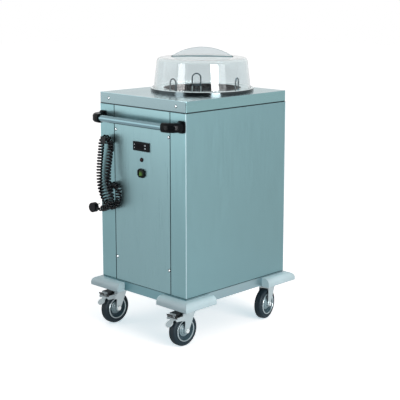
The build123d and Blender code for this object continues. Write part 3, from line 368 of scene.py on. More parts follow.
# painted highlights on the side panels' folded corners, and painted shade in their seams
SIDE_GLINT_AND_SHADE = (
    Region(PAINTED_GLINT, (OUTER_SIDES, Band("Y", -BEYOND, PANEL_LOW.y + FOLD))),
    Region(PAINTED_GLINT, (OUTER_SIDES, Band("Y", REAR_HIGH.y - FOLD, BEYOND))),
    Region(
        PAINTED_SHADE, (Band("X", 0.0, PANEL_HIGH.x + SEAM + LINE, True), Band("Y", -BEYOND, 0.0))
    ),
    Region(
        PAINTED_SHADE, (Band("X", 0.0, REAR_HIGH.x + SEAM + LINE, True), Band("Y", REAR_FROM, BEYOND))
    ),
) + SEAM_SHADE_ENDS
# painted dark reflection on the collar's outer skirt
SKIRT_DARK_REFLECTION = (Region((0.056, 0.066, 0.07), (Band("Z", 0.0, COLLAR_RIM),)),)
# painted light and shade on the worktop: lip sides darker than the top, lip front darker still,
# painted shade on the lip's front corners and along the lip's lower edge
LIP_LIGHT_AND_SHADE = (
    Region((0.255, 0.42, 0.435), (LIP,)),
    Region((0.184, 0.255, 0.272), (LIP, Band("Y", -BEYOND, LIP_FRONT))),
    Region(
        (0.06, 0.095, 0.102),
        (
            Band("X", TOP_HIGH.x - CORNER_SHADE, BEYOND, True),
            Band("Y", -BEYOND, TOP_LOW.y + CORNER_SHADE),
            LIP,
        ),
    ),
    Region(PAINTED_SHADE, (Band("Z", 0.0, TOP_LOW.z + LINE),)),
)
# painted light on the guide wires' legs
GUIDE_LEGS_PAINTED_LIGHT = (Region((0.5, 0.58, 0.6), (Band("Z", 0.0, GUIDE_FOOT),)),)
# painted light: the chassis's outer sides lighter than its front
CHASSIS_SIDES_PAINTED_LIGHT = (Region((0.3, 0.41, 0.44), (Band("X", CHASSIS_SIDE, BEYOND, True),)),)


# ---------------------------------------------------------------------------- kinds of finish
@dataclass(frozen=True)
class Finish:
    """What one material looks like."""

    name: str
    colour: Colour

    def build(self) -> Material:
        """Makes the material.

        Returns:
            The material, with the finish's own nodes.
        """
        shader = Shader(self.name)
        self.dress(shader)
        return shader.material

    def dress(self, shader: Shader) -> None:
        """Adds the finish's own nodes. Each kind of finish has its own."""
        raise NotImplementedError


@dataclass(frozen=True)
class BrushedSteel(Finish):
    """Stainless sheet, brushed one way, with faint clouding."""

    grain: Grain = Grain.UPRIGHT
    roughness: float = 0.34
    anisotropic: float = 0.45
    regions: tuple[Region, ...] = ()
    streaks: float = 0.045
    clouding: float = 0.06
    tint: float = 0.14

    def dress(self, shader: Shader) -> None:
        """Adds the brushing, the clouding and the painted light and shade.

        Args:
            shader: The material's shader.
        """
        shader.set(Metallic=1.0, Anisotropic=self.anisotropic)
        brushing = shader.noise(self.grain.value, detail=4.0)
        clouds = shader.noise((3.0, 3.0, 2.2), detail=2.0)
        streaks = shader.ranged(brushing, -self.streaks, self.streaks)
        cloudy = shader.ranged(clouds, 0.5 - self.clouding, 0.5 + self.clouding)
        mixed = shader.maths("ADD", streaks, cloudy)
        tone = shader.toned(mixed, self.colour, 1 - self.tint, 1 + self.tint)
        shader.link(shader.painted(tone, self.regions), "Base Color")
        shader.roughened(brushing, self.roughness, 0.05, 0.06)
        shader.bump(brushing, 0.00002, 0.35)


@dataclass(frozen=True)
class PolishedSteel(Finish):
    """Polished or plated steel with faint wear."""

    roughness: float = 0.14
    wear: float = 60.0
    regions: tuple[Region, ...] = ()

    def dress(self, shader: Shader) -> None:
        """Adds the wear and the painted regions, such as a painted dark reflection.

        Args:
            shader: The material's shader.
        """
        shader.set(Metallic=1.0)
        marks = shader.noise((self.wear,) * 3, detail=5.0, roughness=0.6)
        tone = shader.toned(shader.ranged(marks, 0.2, 0.8), self.colour, 0.93)
        shader.link(shader.painted(tone, self.regions), "Base Color")
        shader.roughened(marks, self.roughness, 0.04, 0.06)
        shader.bump(marks, 0.00003, 0.3)


@dataclass(frozen=True)
class Moulded(Finish):
    """Moulded or coated plastic with a fine eroded grain."""

    roughness: float = 0.5
    grain: float = 900.0
    depth: float = 0.00005
    specular: float = 0.5

    def dress(self, shader: Shader) -> None:
        """Adds the haze and the grain.

        Args:
            shader: The material's shader.
        """
        shader.set(Specular_IOR_Level=self.specular)
        grain = shader.noise((self.grain,) * 3, detail=2.0)
        haze = shader.noise((9.0,) * 3, detail=3.0)
        tone = shader.toned(shader.ranged(haze, 0.1, 0.9), self.colour, 0.9, 1.08)
        shader.link(tone, "Base Color")
        shader.roughened(haze, self.roughness, 0.05, 0.07)
        shader.bump(grain, self.depth)


@dataclass(frozen=True)
class ClearPlastic(Finish):
    """Clear moulded plastic, with painted shade along the foot of its grip ridge."""

    roughness: float = 0.015
    ior: float = 1.45
    # painted shade along the grip ridge's foot
    foot: Colour = (0.16, 0.3, 0.34)
    ridge_turn: float = math.radians(42.0)
    ridge_half: float = 0.126
    ridge_rise: float = 0.041
    foot_sides: tuple[float, float] = (0.003, 0.0062)  # from the ridge's middle plane
    foot_levels: tuple[float, float] = (0.0025, 0.0066)  # above the crown
    crown_fall: float = 0.176  # per metre: times the square of the distance from the middle

    def ridge_foot(self, shader: Shader) -> Socket:
        """Finds where the grip ridge meets the crown.

        Args:
            shader: The shader that asks.

        Returns:
            1 along the ridge's foot and 0 elsewhere.
        """
        low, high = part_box("dome_cover")
        maths = shader.maths
        across = shader.axis("X")
        deep = maths("SUBTRACT", shader.axis("Y"), (low[1] + high[1]) / 2)
        offset = maths(
            "SUBTRACT",
            maths("MULTIPLY", across, math.sin(self.ridge_turn)),
            maths("MULTIPLY", deep, math.cos(self.ridge_turn)),
        )
        side = maths("ABSOLUTE", offset)
        out = maths("ADD", maths("MULTIPLY", across, across), maths("MULTIPLY", deep, deep))
        above = maths("SUBTRACT", shader.axis("Z"), high[2] - self.ridge_rise)
        level = maths("ADD", above, maths("MULTIPLY", out, self.crown_fall))
        mask = maths("LESS_THAN", out, self.ridge_half**2)
        for value, (least, most) in ((side, self.foot_sides), (level, self.foot_levels)):
            mask = maths("MULTIPLY", mask, maths("GREATER_THAN", value, least))
            mask = maths("MULTIPLY", mask, maths("LESS_THAN", value, most))
        return mask

    def dress(self, shader: Shader) -> None:
        """Adds the haze and the painted shade at the ridge's foot.

        Args:
            shader: The material's shader.
        """
        shader.set(Transmission_Weight=1.0, IOR=self.ior)
        haze = shader.noise((14.0,) * 3, detail=2.0)
        tone = shader.toned(haze, self.colour, 0.985)
        shader.link(shader.blended(self.ridge_foot(shader), tone, self.foot), "Base Color")
        shader.link(shader.ranged(haze, self.roughness, self.roughness * 2.5), "Roughness")


@dataclass(frozen=True)
class Lit(Finish):
    """A translucent plastic with a lamp behind it, brightest round one point."""

    glow: Colour
    centre: Vector
    reach: float
    strength: float

    def dress(self, shader: Shader) -> None:
        """Adds the body's colour and the lamp's light.

        Args:
            shader: The material's shader.
        """
        shader.set(Roughness=0.3, Specular_IOR_Level=0.12, Emission_Strength=self.strength)
        offset = shader.tree.nodes.new("ShaderNodeVectorMath")
        offset.operation = "DISTANCE"
        offset.inputs[1].default_value = self.centre
        shader.tree.links.new(shader.place, offset.inputs[0])
        distance = offset.outputs["Value"]
        near = shader.ranged(distance, 1.0, 0.0, (0.0, self.reach), smooth=True)
        shader.link(shader.toned(near, self.colour, 0.5), "Base Color")
        shader.link(shader.blended(near, (0.0, 0.0, 0.0), self.glow), "Emission Color")


@dataclass(frozen=True)
class SplitMoulding(Finish):
    """Several colours on one piece, divided by where they are: mouldings, and painted light and
    shade.
    """

    regions: tuple[Region, ...]
    roughness: float = 0.4

    def dress(self, shader: Shader) -> None:
        """Adds the regions and the grain.

        Args:
            shader: The material's shader.
        """
        shader.set(Roughness=self.roughness)
        shader.link(shader.painted(self.colour, self.regions), "Base Color")
        shader.bump(shader.noise((800.0,) * 3, detail=2.0), 0.00004)


# ---------------------------------------------------------------------------- the cart's finishes
@dataclass(frozen=True)
class Finishes:
    """The cart's finishes."""

    # The stainless sheets are one steel in lighter and darker copies by face: painted light and
    # shade.
    front: BrushedSteel = BrushedSteel(
        "brushed_front_sheet", (0.22, 0.348, 0.37), roughness=0.32, regions=SERVICE_SEAM_SHADE
    )
    side: BrushedSteel = BrushedSteel("brushed_side_sheet", (0.197, 0.33, 0.353), regions=SIDE_GLINT_AND_SHADE)
    rear: BrushedSteel = BrushedSteel("brushed_rear_sheet", (0.197, 0.33, 0.353), regions=REAR_SEAM_SHADE)
    # the worktop, its top painted lighter than its lip: painted light and shade
    top: BrushedSteel = BrushedSteel(
        "brushed_worktop", (0.29, 0.425, 0.455), Grain.ALONG, 0.22, regions=LIP_LIGHT_AND_SHADE
    )
    chassis: BrushedSteel = BrushedSteel(
        "brushed_chassis", (0.17, 0.3, 0.33), Grain.ACROSS, regions=CHASSIS_SIDES_PAINTED_LIGHT
    )
    # the inner frames and plates painted dark: painted shade inside the cabinet
    inner: BrushedSteel = BrushedSteel("inner_sheet_painted_shade", (0.05, 0.058, 0.062), Grain.UPRIGHT, 0.4)
    well: PolishedSteel = PolishedSteel("shaded_well_sheet", (0.001, 0.004, 0.006), 0.45)
    # the polished collar, with a painted dark reflection on its skirt
    ring: PolishedSteel = PolishedSteel("polished_collar", (0.62, 0.7, 0.72), 0.12, regions=SKIRT_DARK_REFLECTION)
    # one guide wire in two tones: painted shade above and painted light on its legs
    wire: SplitMoulding = SplitMoulding("guide_wire", (0.06, 0.1, 0.12), GUIDE_LEGS_PAINTED_LIGHT, 0.25)
    rods: PolishedSteel = PolishedSteel("guide_rod_steel", (0.4, 0.48, 0.5), 0.14)
    tube: PolishedSteel = PolishedSteel("polished_tube", (0.19, 0.3, 0.335), 0.18)
    screw: PolishedSteel = PolishedSteel("screw_steel", (0.85, 0.9, 0.91), 0.2, 200.0)
    zinc: PolishedSteel = PolishedSteel("zinc_plate", (0.52, 0.6, 0.62), 0.32, 90.0)
    axle: PolishedSteel = PolishedSteel("axle_plate", (0.85, 0.9, 0.91), 0.16, 120.0)
    spring: PolishedSteel = PolishedSteel("spring_wire", (0.3, 0.31, 0.32), 0.32, 150.0)
    heater: PolishedSteel = PolishedSteel("element_sheath", (0.2, 0.18, 0.17), 0.45, 150.0)
    pins: PolishedSteel = PolishedSteel("plug_pin_plating", (0.72, 0.68, 0.58), 0.2, 200.0)
    clear: ClearPlastic = ClearPlastic("clear_cover", (0.835, 0.882, 0.888))
    bumper: Moulded = Moulded("bumper_moulding", (0.53, 0.66, 0.69), 0.42, specular=0.35)
    bracket: Moulded = Moulded("bracket_moulding", (0.002, 0.003, 0.004), 0.26, specular=0.08)
    tyre: Moulded = Moulded("tyre_rubber", (0.012, 0.026, 0.036), 0.55, 500.0, specular=0.2)
    # a darker copy of the rim plastic on dish and ribs: painted shade for the centre's groove
    rim: Moulded = Moulded("wheel_centre_painted_shade", (0.05, 0.09, 0.11), 0.42, specular=0.3)
    # a lighter copy of the rim plastic: painted light on the hub
    hub: Moulded = Moulded("wheel_hub_painted_light", (0.25, 0.35, 0.38), 0.38)
    # the rim's lip in a bright finish: a painted highlight
    rim_lip_highlight: PolishedSteel = PolishedSteel("wheel_ring_highlight", (0.6, 0.7, 0.73), 0.3, 120.0)
    jacket: Moulded = Moulded("cord_jacket", (0.003, 0.004, 0.006), 0.34, 500.0, specular=0.14)
    plug: Moulded = Moulded("plug_moulding", (0.004, 0.006, 0.008), 0.4, specular=0.14)
    hook: Moulded = Moulded("hook_coating", (0.005, 0.008, 0.01), 0.38, specular=0.2)
    controls: Moulded = Moulded("control_moulding", (0.003, 0.006, 0.008), 0.4, specular=0.07)
    window: Moulded = Moulded(
        "smoked_window", (0.003, 0.003, 0.005), 0.12, 100.0, depth=0.0, specular=0.07
    )
    keys: Moulded = Moulded("key_tops", (0.008, 0.014, 0.018), 0.45, specular=0.2)
    pale_keys: Moulded = Moulded("pale_key_tops", (0.62, 0.68, 0.7), 0.4)
    marks: Moulded = Moulded("key_marks", (0.8, 0.85, 0.86), 0.5)
    # dark seats under the screw heads: painted shade round each head
    shade_seat: Moulded = Moulded("screw_seats_painted_shade", (0.006, 0.01, 0.012), 0.5)


class Paint:
    """Materials made once and handed out by finish."""

    def __init__(self) -> None:
        """Starts with no material made."""
        self.made: dict[str, Material] = {}

    def of(self, finish: Finish) -> Material:
        """Hands out the material of a finish.

        Args:
            finish: The finish.

        Returns:
            Its material, made the first time it is asked for.
        """
        if finish.name not in self.made:
            self.made[finish.name] = finish.build()
        return self.made[finish.name]


@dataclass
class Assembly:
    """A sub-assembly, which makes its pieces and dresses them in the cart's finishes."""

    paint: Paint
    finishes: Finishes

    def dress(self, finish_of: dict[str, Finish]) -> None:
        """Dresses CAD nodes.

        Args:
            finish_of: The finish of each node, by the node's name.
        """
        for name, finish in finish_of.items():
            mesh = frame["nodes"][name].data
            mesh.materials.clear()
            mesh.materials.append(self.paint.of(finish))
            LOG.info("%s is dressed in %s", name, finish.name)

    def fit(
        self, piece: Piece, body: str, finish: Finish, slot: str, nodes: Sequence[str] = ()
    ) -> None:
        """Dresses a piece, puts it on its body and hides the nodes that it replaces.

        Args:
            piece: The piece, in place.
            body: The CAD body that it rides on.
            finish: Its finish.
            slot: The record's material slot. Not used.
            nodes: The CAD nodes that it replaces.
        """
        piece.data.materials.clear()
        piece.data.materials.append(self.paint.of(finish))
        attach(piece, body)
        if nodes:
            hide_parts(*nodes)
        LOG.info("%s rides on %s", piece.name, body)


# ---------------------------------------------------------------------------- modelling
def deselect() -> None:
    """Selects nothing."""
    bpy.ops.object.select_all(action="DESELECT")


def choose(piece: Piece) -> None:
    """Selects one piece alone and makes it active.

    Args:
        piece: The piece.
    """
    deselect()
    piece.select_set(True)
    bpy.context.view_layer.objects.active = piece


@contextmanager
def editing() -> Iterator[None]:
    """Opens the active piece in edit mode with all of it selected, and closes it again.

    Yields:
        Nothing, while the piece is open.
    """
    bpy.ops.object.mode_set(mode="EDIT")
    bpy.ops.mesh.select_all(action="SELECT")
    yield
    bpy.ops.object.mode_set(mode="OBJECT")


def named(name: str) -> Piece:
    """Names the piece that was just added.

    Args:
        name: Its name, which its mesh gets too.

    Returns:
        The piece.
    """
    piece = bpy.context.active_object
    piece.name = name
    piece.data.name = name
    return piece


def settle(piece: Piece, place: Matrix) -> Piece:
    """Moves a piece and writes its place into its mesh.

    Args:
        piece: The piece.
        place: A placement on top of the one that it has.

    Returns:
        The piece.
    """
    piece.matrix_world = place @ piece.matrix_world
    choose(piece)
    bpy.ops.object.transform_apply(location=True, rotation=True, scale=True)
    return piece


def smoothed(piece: Piece) -> Piece:
    """Shades a piece smooth except at sharp edges.

    Args:
        piece: The piece.

    Returns:
        The piece.
    """
    choose(piece)
    bpy.ops.object.shade_smooth_by_angle(angle=SMOOTH_ANGLE)
    return piece


def closed_up(piece: Piece) -> Piece:
    """Merges doubled points and turns the faces outwards.

    Args:
        piece: The piece.

    Returns:
        The piece.
    """
    choose(piece)
    with editing():
        bpy.ops.mesh.remove_doubles(threshold=MERGE_DISTANCE)
        bpy.ops.mesh.normals_make_consistent(inside=False)
    return piece


def both_sides(side: Profile) -> Profile:
    """A profile and its mirror image below the middle, with a point on the middle kept single."""
    return [*side, *((radius, -height) for radius, height in reversed(side) if height)]


def quarter(steps: int) -> list[float]:
    """Angles in equal steps from 0 to a right angle."""
    return [math.pi / 2 * step / steps for step in range(steps + 1)]


def turned(name: str, rings: Profile, segments: int, loop: bool = False) -> Piece:
    """Turns a profile about Z, ring by ring, as on a lathe.

    Args:
        name: The piece's name.
        rings: Radius and height of each ring. A radius of 0 closes the shape in a pole.
        segments: Faces round the axis.
        loop: Whether the last ring joins the first.

    Returns:
        The piece, closed and with its faces outwards.
    """
    path = [(max(radius, POLE_RADIUS), height) for radius, height in rings]
    if loop:
        path.append(path[0])
    deselect()
    radius, height = path[0]
    bpy.ops.mesh.primitive_circle_add(vertices=segments, radius=radius, location=(0, 0, height))
    piece = named(name)
    bpy.ops.object.transform_apply(location=True)
    with editing():
        for wider, higher in path[1:]:
            step = (0, 0, higher - height)
            bpy.ops.mesh.extrude_edges_move(TRANSFORM_OT_translate={"value": step})
            share = wider / radius
            bpy.ops.transform.resize(value=(share, share, 1), center_override=(0, 0, higher))
            radius, height = wider, higher
    return closed_up(piece)


def block(name: str, low: Sequence[float], high: Sequence[float], rounding: float = 0.0) -> Piece:
    """A box between two corners, with its edges rounded.

    Args:
        name: The piece's name.
        low: Lowest corner.
        high: Highest corner.
        rounding: Radius of the edges.

    Returns:
        The piece.
    """
    deselect()
    middle = [(a + b) / 2 for a, b in zip(low, high)]
    bpy.ops.mesh.primitive_cube_add(size=1.0, location=middle)
    piece = named(name)
    piece.scale = [b - a for a, b in zip(low, high)]
    bpy.ops.object.transform_apply(location=True, scale=True)
    if rounding:
        with editing():
            bpy.ops.mesh.bevel(offset=rounding, segments=2, affect="EDGES")
    return piece


def repeated(model: Piece, places: Sequence[Matrix], name: str) -> Piece:
    """Copies a model with its mesh to several places, joins the copies and removes the model.

    Args:
        model: The model, at the origin.
        places: The placement of each copy.
        name: The joined piece's name.

    Returns:
        The joined piece.
    """
    copies = []
    for place in places:
        twin = model.copy()
        twin.data = model.data.copy()
        bpy.context.scene.collection.objects.link(twin)
        copies.append(settle(twin, place))
    bpy.data.objects.remove(model)
    deselect()
    for twin in copies:
        twin.select_set(True)
    bpy.context.view_layer.objects.active = copies[0]
    bpy.ops.object.join()
    return named(name)


def cut(piece: Piece, tool: Piece) -> Piece:
    """Cuts one piece with another.

    Args:
        piece: The piece.
        tool: What is cut out of it. It is then gone.

    Returns:
        The piece.
    """
    modifier = piece.modifiers.new("cut", "BOOLEAN")
    modifier.operation = "DIFFERENCE"
    modifier.solver = "EXACT"
    modifier.object = tool
    choose(piece)
    bpy.ops.object.modifier_apply(modifier=modifier.name)
    bpy.data.objects.remove(tool)
    return piece


def along(direction: Sequence[float], origin: Sequence[float]) -> Matrix:
    """Placement that turns +Z to a direction and moves the origin to a point."""
    turn = Vector((0, 0, 1)).rotation_difference(Vector(direction).normalized())
    return Matrix.Translation(Vector(origin)) @ turn.to_matrix().to_4x4()


# ---------------------------------------------------------------------------- supply cord
@dataclass
class SupplyCord(Assembly):
    """The curly supply cord, hung over its hook, with its plug.

    A point of the route is its X, its distance out from the front panel and its height.
    """

    wire: float = 0.007
    coil_radius: float = 0.009
    turns: float = 66.75
    points_per_turn: int = 14
    tail: float = 0.012
    bend: float = 0.45  # where the turn into the plug starts and ends, as a share of its legs
    swell: float = 1.05  # for the tube's flat faces, which lie inside its round
    route_steps: int = 24
    wire_steps: int = 3
    route_mm: tuple[tuple[float, float, float], ...] = (
        (-172.5, 15.0, 557.0), (-172.1, 15.0, 563.0), (-164.5, 15.0, 573.5),
        (-147.0, 15.0, 581.5), (-129.0, 15.0, 575.0), (-120.5, 15.0, 559.0),
        (-118.5, 15.0, 537.0), (-128.0, 15.0, 508.5), (-156.0, 15.0, 487.0),
        (-187.5, 15.0, 494.5), (-210.0, 15.0, 517.0), (-226.0, 15.5, 548.0),
        (-232.5, 16.5, 586.0), (-230.0, 18.5, 627.0), (-221.0, 21.0, 676.0),
        (-210.0, 24.0, 718.0), (-206.5, 25.0, 742.0), (-198.0, 25.0, 756.5),
        (-185.0, 25.0, 763.0), (-170.0, 25.0, 763.0), (-157.0, 25.0, 756.5),
        (-149.5, 26.0, 741.0), (-149.5, 27.5, 721.0), (-152.5, 31.0, 685.0),
        (-156.5, 36.0, 638.0), (-153.0, 40.5, 600.0), (-141.0, 42.0, 570.0),
        (-130.5, 42.0, 541.5), (-134.0, 42.0, 511.0), (-157.0, 42.0, 489.5),
        (-189.0, 42.0, 482.0),
    )
    outward: Vector = field(default_factory=lambda: Vector(FORWARD))

    def route(self) -> list[Vector]:
        """The coil's axis, a smooth line along the listed route.

        Returns:
            Points along the axis, in metres.
        """
        points = [
            Vector((x / MM_PER_METRE, PANEL_LOW.y - out / MM_PER_METRE, z / MM_PER_METRE))
            for x, out, z in self.route_mm
        ]
        return self._drawn(self._spline("cord_route", points, self.route_steps))

    @staticmethod
    def _drawn(line: Piece) -> list[Vector]:
        """Reads a line without thickness as it is drawn.

        Args:
            line: The line, which is then gone.

        Returns:
            The points along it.
        """
        mesh = bpy.data.meshes.new_from_object(line)
        points = [vertex.co.copy() for vertex in mesh.vertices]
        bpy.data.meshes.remove(mesh)
        bpy.data.objects.remove(line)
        return points

    def _length(self, wire: Piece) -> float:
        """Measures the wire along its middle.

        Args:
            wire: The wire.

        Returns:
            Its length in metres.
        """
        bare = wire.copy()
        bare.data = wire.data.copy()
        bare.data.bevel_depth = 0.0
        bpy.context.scene.collection.objects.link(bare)
        points = self._drawn(bare)
        return sum((second - first).length for first, second in zip(points, points[1:]))

    @staticmethod
    def _spline(name: str, points: Sequence[Vector], resolution: int) -> Piece:
        """Makes an open smooth line.

        Args:
            name: The line's name.
            points: Its control points.
            resolution: Steps from one control point to the next.

        Returns:
            The line.
        """
        curve = bpy.data.curves.new(name, "CURVE")
        curve.dimensions = "3D"
        curve.resolution_u = resolution
        spline = curve.splines.new("NURBS")
        spline.points.add(len(points) - 1)
        for point, place in zip(spline.points, points):
            point.co = (*place, 1.0)
        spline.order_u = 3
        spline.use_endpoint_u = True
        line = bpy.data.objects.new(name, curve)
        bpy.context.scene.collection.objects.link(line)
        return line

    def _across(self, way: Vector) -> tuple[Vector, Vector]:
        """Two directions square to the coil's axis.

        Args:
            way: The axis's own direction.

        Returns:
            The direction nearest to straight out of the front, and the one beside it.
        """
        out = (self.outward - way * self.outward.dot(way)).normalized()
        return out, way.cross(out)

    def helix(self, axis: Sequence[Vector]) -> list[Vector]:
        """The wire's points along the coil, from its straight start to its straight end.

        Args:
            axis: Points along the coil's axis.

        Returns:
            Control points of the wire's line.
        """
        reach = [0.0]
        for first, second in zip(axis, axis[1:]):
            reach.append(reach[-1] + (second - first).length)
        count = round(self.turns * self.points_per_turn)
        widened = self.coil_radius / math.cos(math.pi / self.points_per_turn)
        points: list[Vector] = []
        index = 0
        for step in range(count + 1):
            goal = reach[-1] * step / count
            while index < len(axis) - 2 and reach[index + 1] < goal:
                index += 1
            share = (goal - reach[index]) / (reach[index + 1] - reach[index])
            centre = axis[index].lerp(axis[index + 1], share)
            way = (axis[min(index + 2, len(axis) - 1)] - axis[max(index - 1, 0)]).normalized()
            out, beside = self._across(way)
            angle = 2 * math.pi * step / self.points_per_turn - math.pi / 2
            outwards, sideways = widened * math.cos(angle), widened * math.sin(angle)
            points.append(centre + out * outwards + beside * sideways)
        return self._with_ends(points, axis)

    def _with_ends(self, points: list[Vector], axis: Sequence[Vector]) -> list[Vector]:
        """Adds the straight start out of the gland and the turn and tail into the plug.

        Args:
            points: The coil's control points.
            axis: Points along the coil's axis.

        Returns:
            Control points of the whole wire.
        """
        first, last = points[0], points[-1]
        start = [first - self.outward * self.wire, first - self.outward * (self.wire / 2)]
        way = (axis[-1] - axis[-3]).normalized()
        _, beside = self._across(way)
        middle = last - beside * self.coil_radius
        turn_off = middle + way * self.coil_radius
        bend = [last.lerp(middle, self.bend), middle.lerp(turn_off, 1 - self.bend)]
        return [*start, *points, *bend, turn_off, turn_off + way * (self.wire + self.tail)]

    def build(self) -> None:
        """Makes the wire and dresses what is on it."""
        wire = self._spline("supply_cord", self.helix(self.route()), self.wire_steps)
        wire.data.bevel_depth = self.wire / 2 * self.swell
        wire.data.bevel_resolution = 2
        wire.data.use_fill_caps = True
        self.fit(wire, "root", self.finishes.jacket, "cord_jacket", ("curly_cord", "cord_tail"))
        length = self._length(wire)
        LOG.info("cord of %.3f m", length)
        self.dress({
            "plug_body": self.finishes.plug,
            "plug_pins": self.finishes.pins,
            "cord_gland": self.finishes.plug,
            "cord_hook": self.finishes.hook,
        })


# ---------------------------------------------------------------------------- castors
@dataclass
class Castor(Assembly):
    """One swivel castor. Its tyre and its wheel's parts are turned here."""

    corner: Corner
    radius: float = 0.0625
    bore: float = 0.041
    half_width: float = 0.016
    hub_half: float = 0.0197
    hub_radius: float = 0.014
    axle: float = 0.00505
    shoulder: float = 0.009
    groove_share: float = 0.55
    groove_depth: float = 0.0008
    groove_mouth: float = 0.0011
    groove_floor: float = 0.0006
    sidewall: Profile = (  # steps out from the bore and in from the flank
        (0.0, 0.0035),
        (0.0035, 0.0004),
        (0.0062, 0.0),
        (0.0068, 0.0007),
        (0.0078, 0.0007),
        (0.0084, 0.0),
    )
    ring_edge: Profile = (
        (0.0396, 0.0148),
        (0.0398, 0.0170),
        (0.0406, 0.0180),
        (0.0424, 0.0180),
        (0.0432, 0.0170),
        (0.0434, 0.0146),
    )
    rib_count: int = 8
    rib_low: tuple[float, float, float] = (0.0248, -0.0009, 0.0022)
    rib_high: tuple[float, float, float] = (0.0338, 0.0009, 0.0048)
    rib_rounding: float = 0.0004
    sides: int = 72
    tyre_sides: int = 96

    def placement(self) -> Matrix:
        """Finds the wheel.

        Returns:
            A placement that turns +Z to the wheel's axle, at the middle of the tyre.
        """
        low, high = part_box(f"tyre_{self.corner.value}")
        centre = (Vector(low) + Vector(high)) / 2
        joint = next(j for j in frame["joints"] if j["name"] == f"roll_{self.corner.value}")
        return along(joint["axis"], centre)

    def tyre(self) -> Piece:
        """The tyre, with rounded shoulders, a sidewall step and two shallow tread grooves.

        Returns:
            The tyre, at the origin.
        """
        half, outer, round_off = self.half_width, self.radius, self.shoulder
        side = [(self.bore, 0.0)]
        side += [(self.bore + out, half - back) for out, back in self.sidewall]
        for angle in quarter(7):
            across, up = round_off * math.cos(angle), round_off * math.sin(angle)
            side.append((outer - round_off + up, half - round_off + across))
        groove, floor = (half - round_off) * self.groove_share, outer - self.groove_depth
        side += [
            (outer, groove + self.groove_mouth),
            (floor, groove + self.groove_floor),
            (floor, groove - self.groove_floor),
            (outer, groove - self.groove_mouth),
        ]
        name = f"tyre_cover_{self.corner.value}"
        return turned(name, both_sides(side), self.tyre_sides, loop=True)

    def dish(self) -> Piece:
        """The wheel centre's web, deep groove and sloping rim.

        Returns:
            The wheel centre, at the origin.
        """
        side = [
            (0.0205, 0.0072),
            (0.0254, 0.0066),
            (0.0260, 0.0024),
            (0.0322, 0.0024),
            (0.0334, 0.0060),
            (0.0384, 0.0118),
            (0.0394, 0.0146),
            (self.bore, 0.0150),
        ]
        name = f"wheel_centre_painted_shade_{self.corner.value}"
        return turned(name, both_sides(side), self.sides, loop=True)

    def hub(self) -> Piece:
        """The stepped hub.

        Returns:
            The hub, at the origin.
        """
        side = [
            (self.axle, self.hub_half),
            (self.hub_radius - 0.002, self.hub_half),
            (self.hub_radius - 0.0008, self.hub_half - 0.0012),
            (self.hub_radius, 0.0148),
            (0.0192, 0.0138),
            (0.0204, 0.0126),
            (0.0210, 0.0098),
            (0.0234, 0.0092),
            (0.0248, 0.0080),
            (0.0252, 0.0030),
        ]
        name = f"wheel_hub_painted_light_{self.corner.value}"
        return turned(name, both_sides(side), self.sides, loop=True)

    def ring(self, side: int) -> Piece:
        """The rim's lip at the edge of the wheel centre, in a bright finish as a painted highlight.

        Args:
            side: 1 for the outer ring and -1 for the inner one.

        Returns:
            The ring, at the origin.
        """
        name = f"wheel_ring_highlight_{'outer' if side > 0 else 'inner'}_{self.corner.value}"
        rings = [(radius, height * side) for radius, height in self.ring_edge]
        return turned(name, rings, self.sides, loop=True)

    def ribs(self) -> Piece:
        """The low stiffening ribs in the groove on each face of the web.

        Returns:
            The ribs, at the origin.
        """
        places = [
            Matrix.Rotation(2 * math.pi * step / self.rib_count, 4, "Z")
            @ Matrix.Rotation(flip, 4, "X")
            for flip in (0, math.pi)
            for step in range(self.rib_count)
        ]
        rib = block("rib", self.rib_low, self.rib_high, self.rib_rounding)
        return repeated(rib, places, f"wheel_ribs_{self.corner.value}")

    def build(self) -> None:
        """Makes the castor's turned pieces and dresses its nodes."""
        where, place, finishes = self.corner.value, self.placement(), self.finishes
        rim = (f"rim_{where}",)
        parts = (
            (self.tyre(), finishes.tyre, "tyre_rubber", (f"tyre_{where}",)),
            (self.dish(), finishes.rim, "rim_plastic", rim),
            (self.hub(), finishes.hub, "rim_plastic", rim),
            (self.ribs(), finishes.rim, "rim_plastic", ()),
            (self.ring(1), finishes.rim_lip_highlight, "rim_plastic", ()),
            (self.ring(-1), finishes.rim_lip_highlight, "rim_plastic", ()),
        )
        for piece, finish, slot, nodes in parts:
            smoothed(settle(piece, place))
            self.fit(piece, f"wheel_{where}", finish, slot, nodes)
        self.dress({f"fork_{where}": finishes.zinc, f"axle_{where}": finishes.axle})
        if self.corner.braked:
            self._dress_pedal()

    def _dress_pedal(self) -> None:
        """Dresses the pedal: pale lever and pad, black shoe, black toe plate with painted rib
        highlights.
        """
        name = f"brake_pedal_{self.corner.value}"
        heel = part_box(name)[1][1]
        pale, black = (0.62, 0.7, 0.72), (0.006, 0.01, 0.012)
        shoe, toe = Band("Z", 0.1255, 0.14), Band("Z", 0.1205, 0.1385)
        stretches = (
            (black, shoe, 0.0165, 0.046),
            (black, toe, 0.046, 0.0625),
            # painted highlights: two pale stripes along the toe plate's ribs
            (pale, toe, 0.0582, 0.0605),
            (pale, toe, 0.0522, 0.0545),
        )
        regions = tuple(
            Region(colour, (Band("Y", heel - far, heel - near), height))
            for colour, height, near, far in stretches
        )
        pedal = SplitMoulding(f"pedal_{self.corner.value}", (0.56, 0.64, 0.66), regions)
        self.dress({name: pedal})


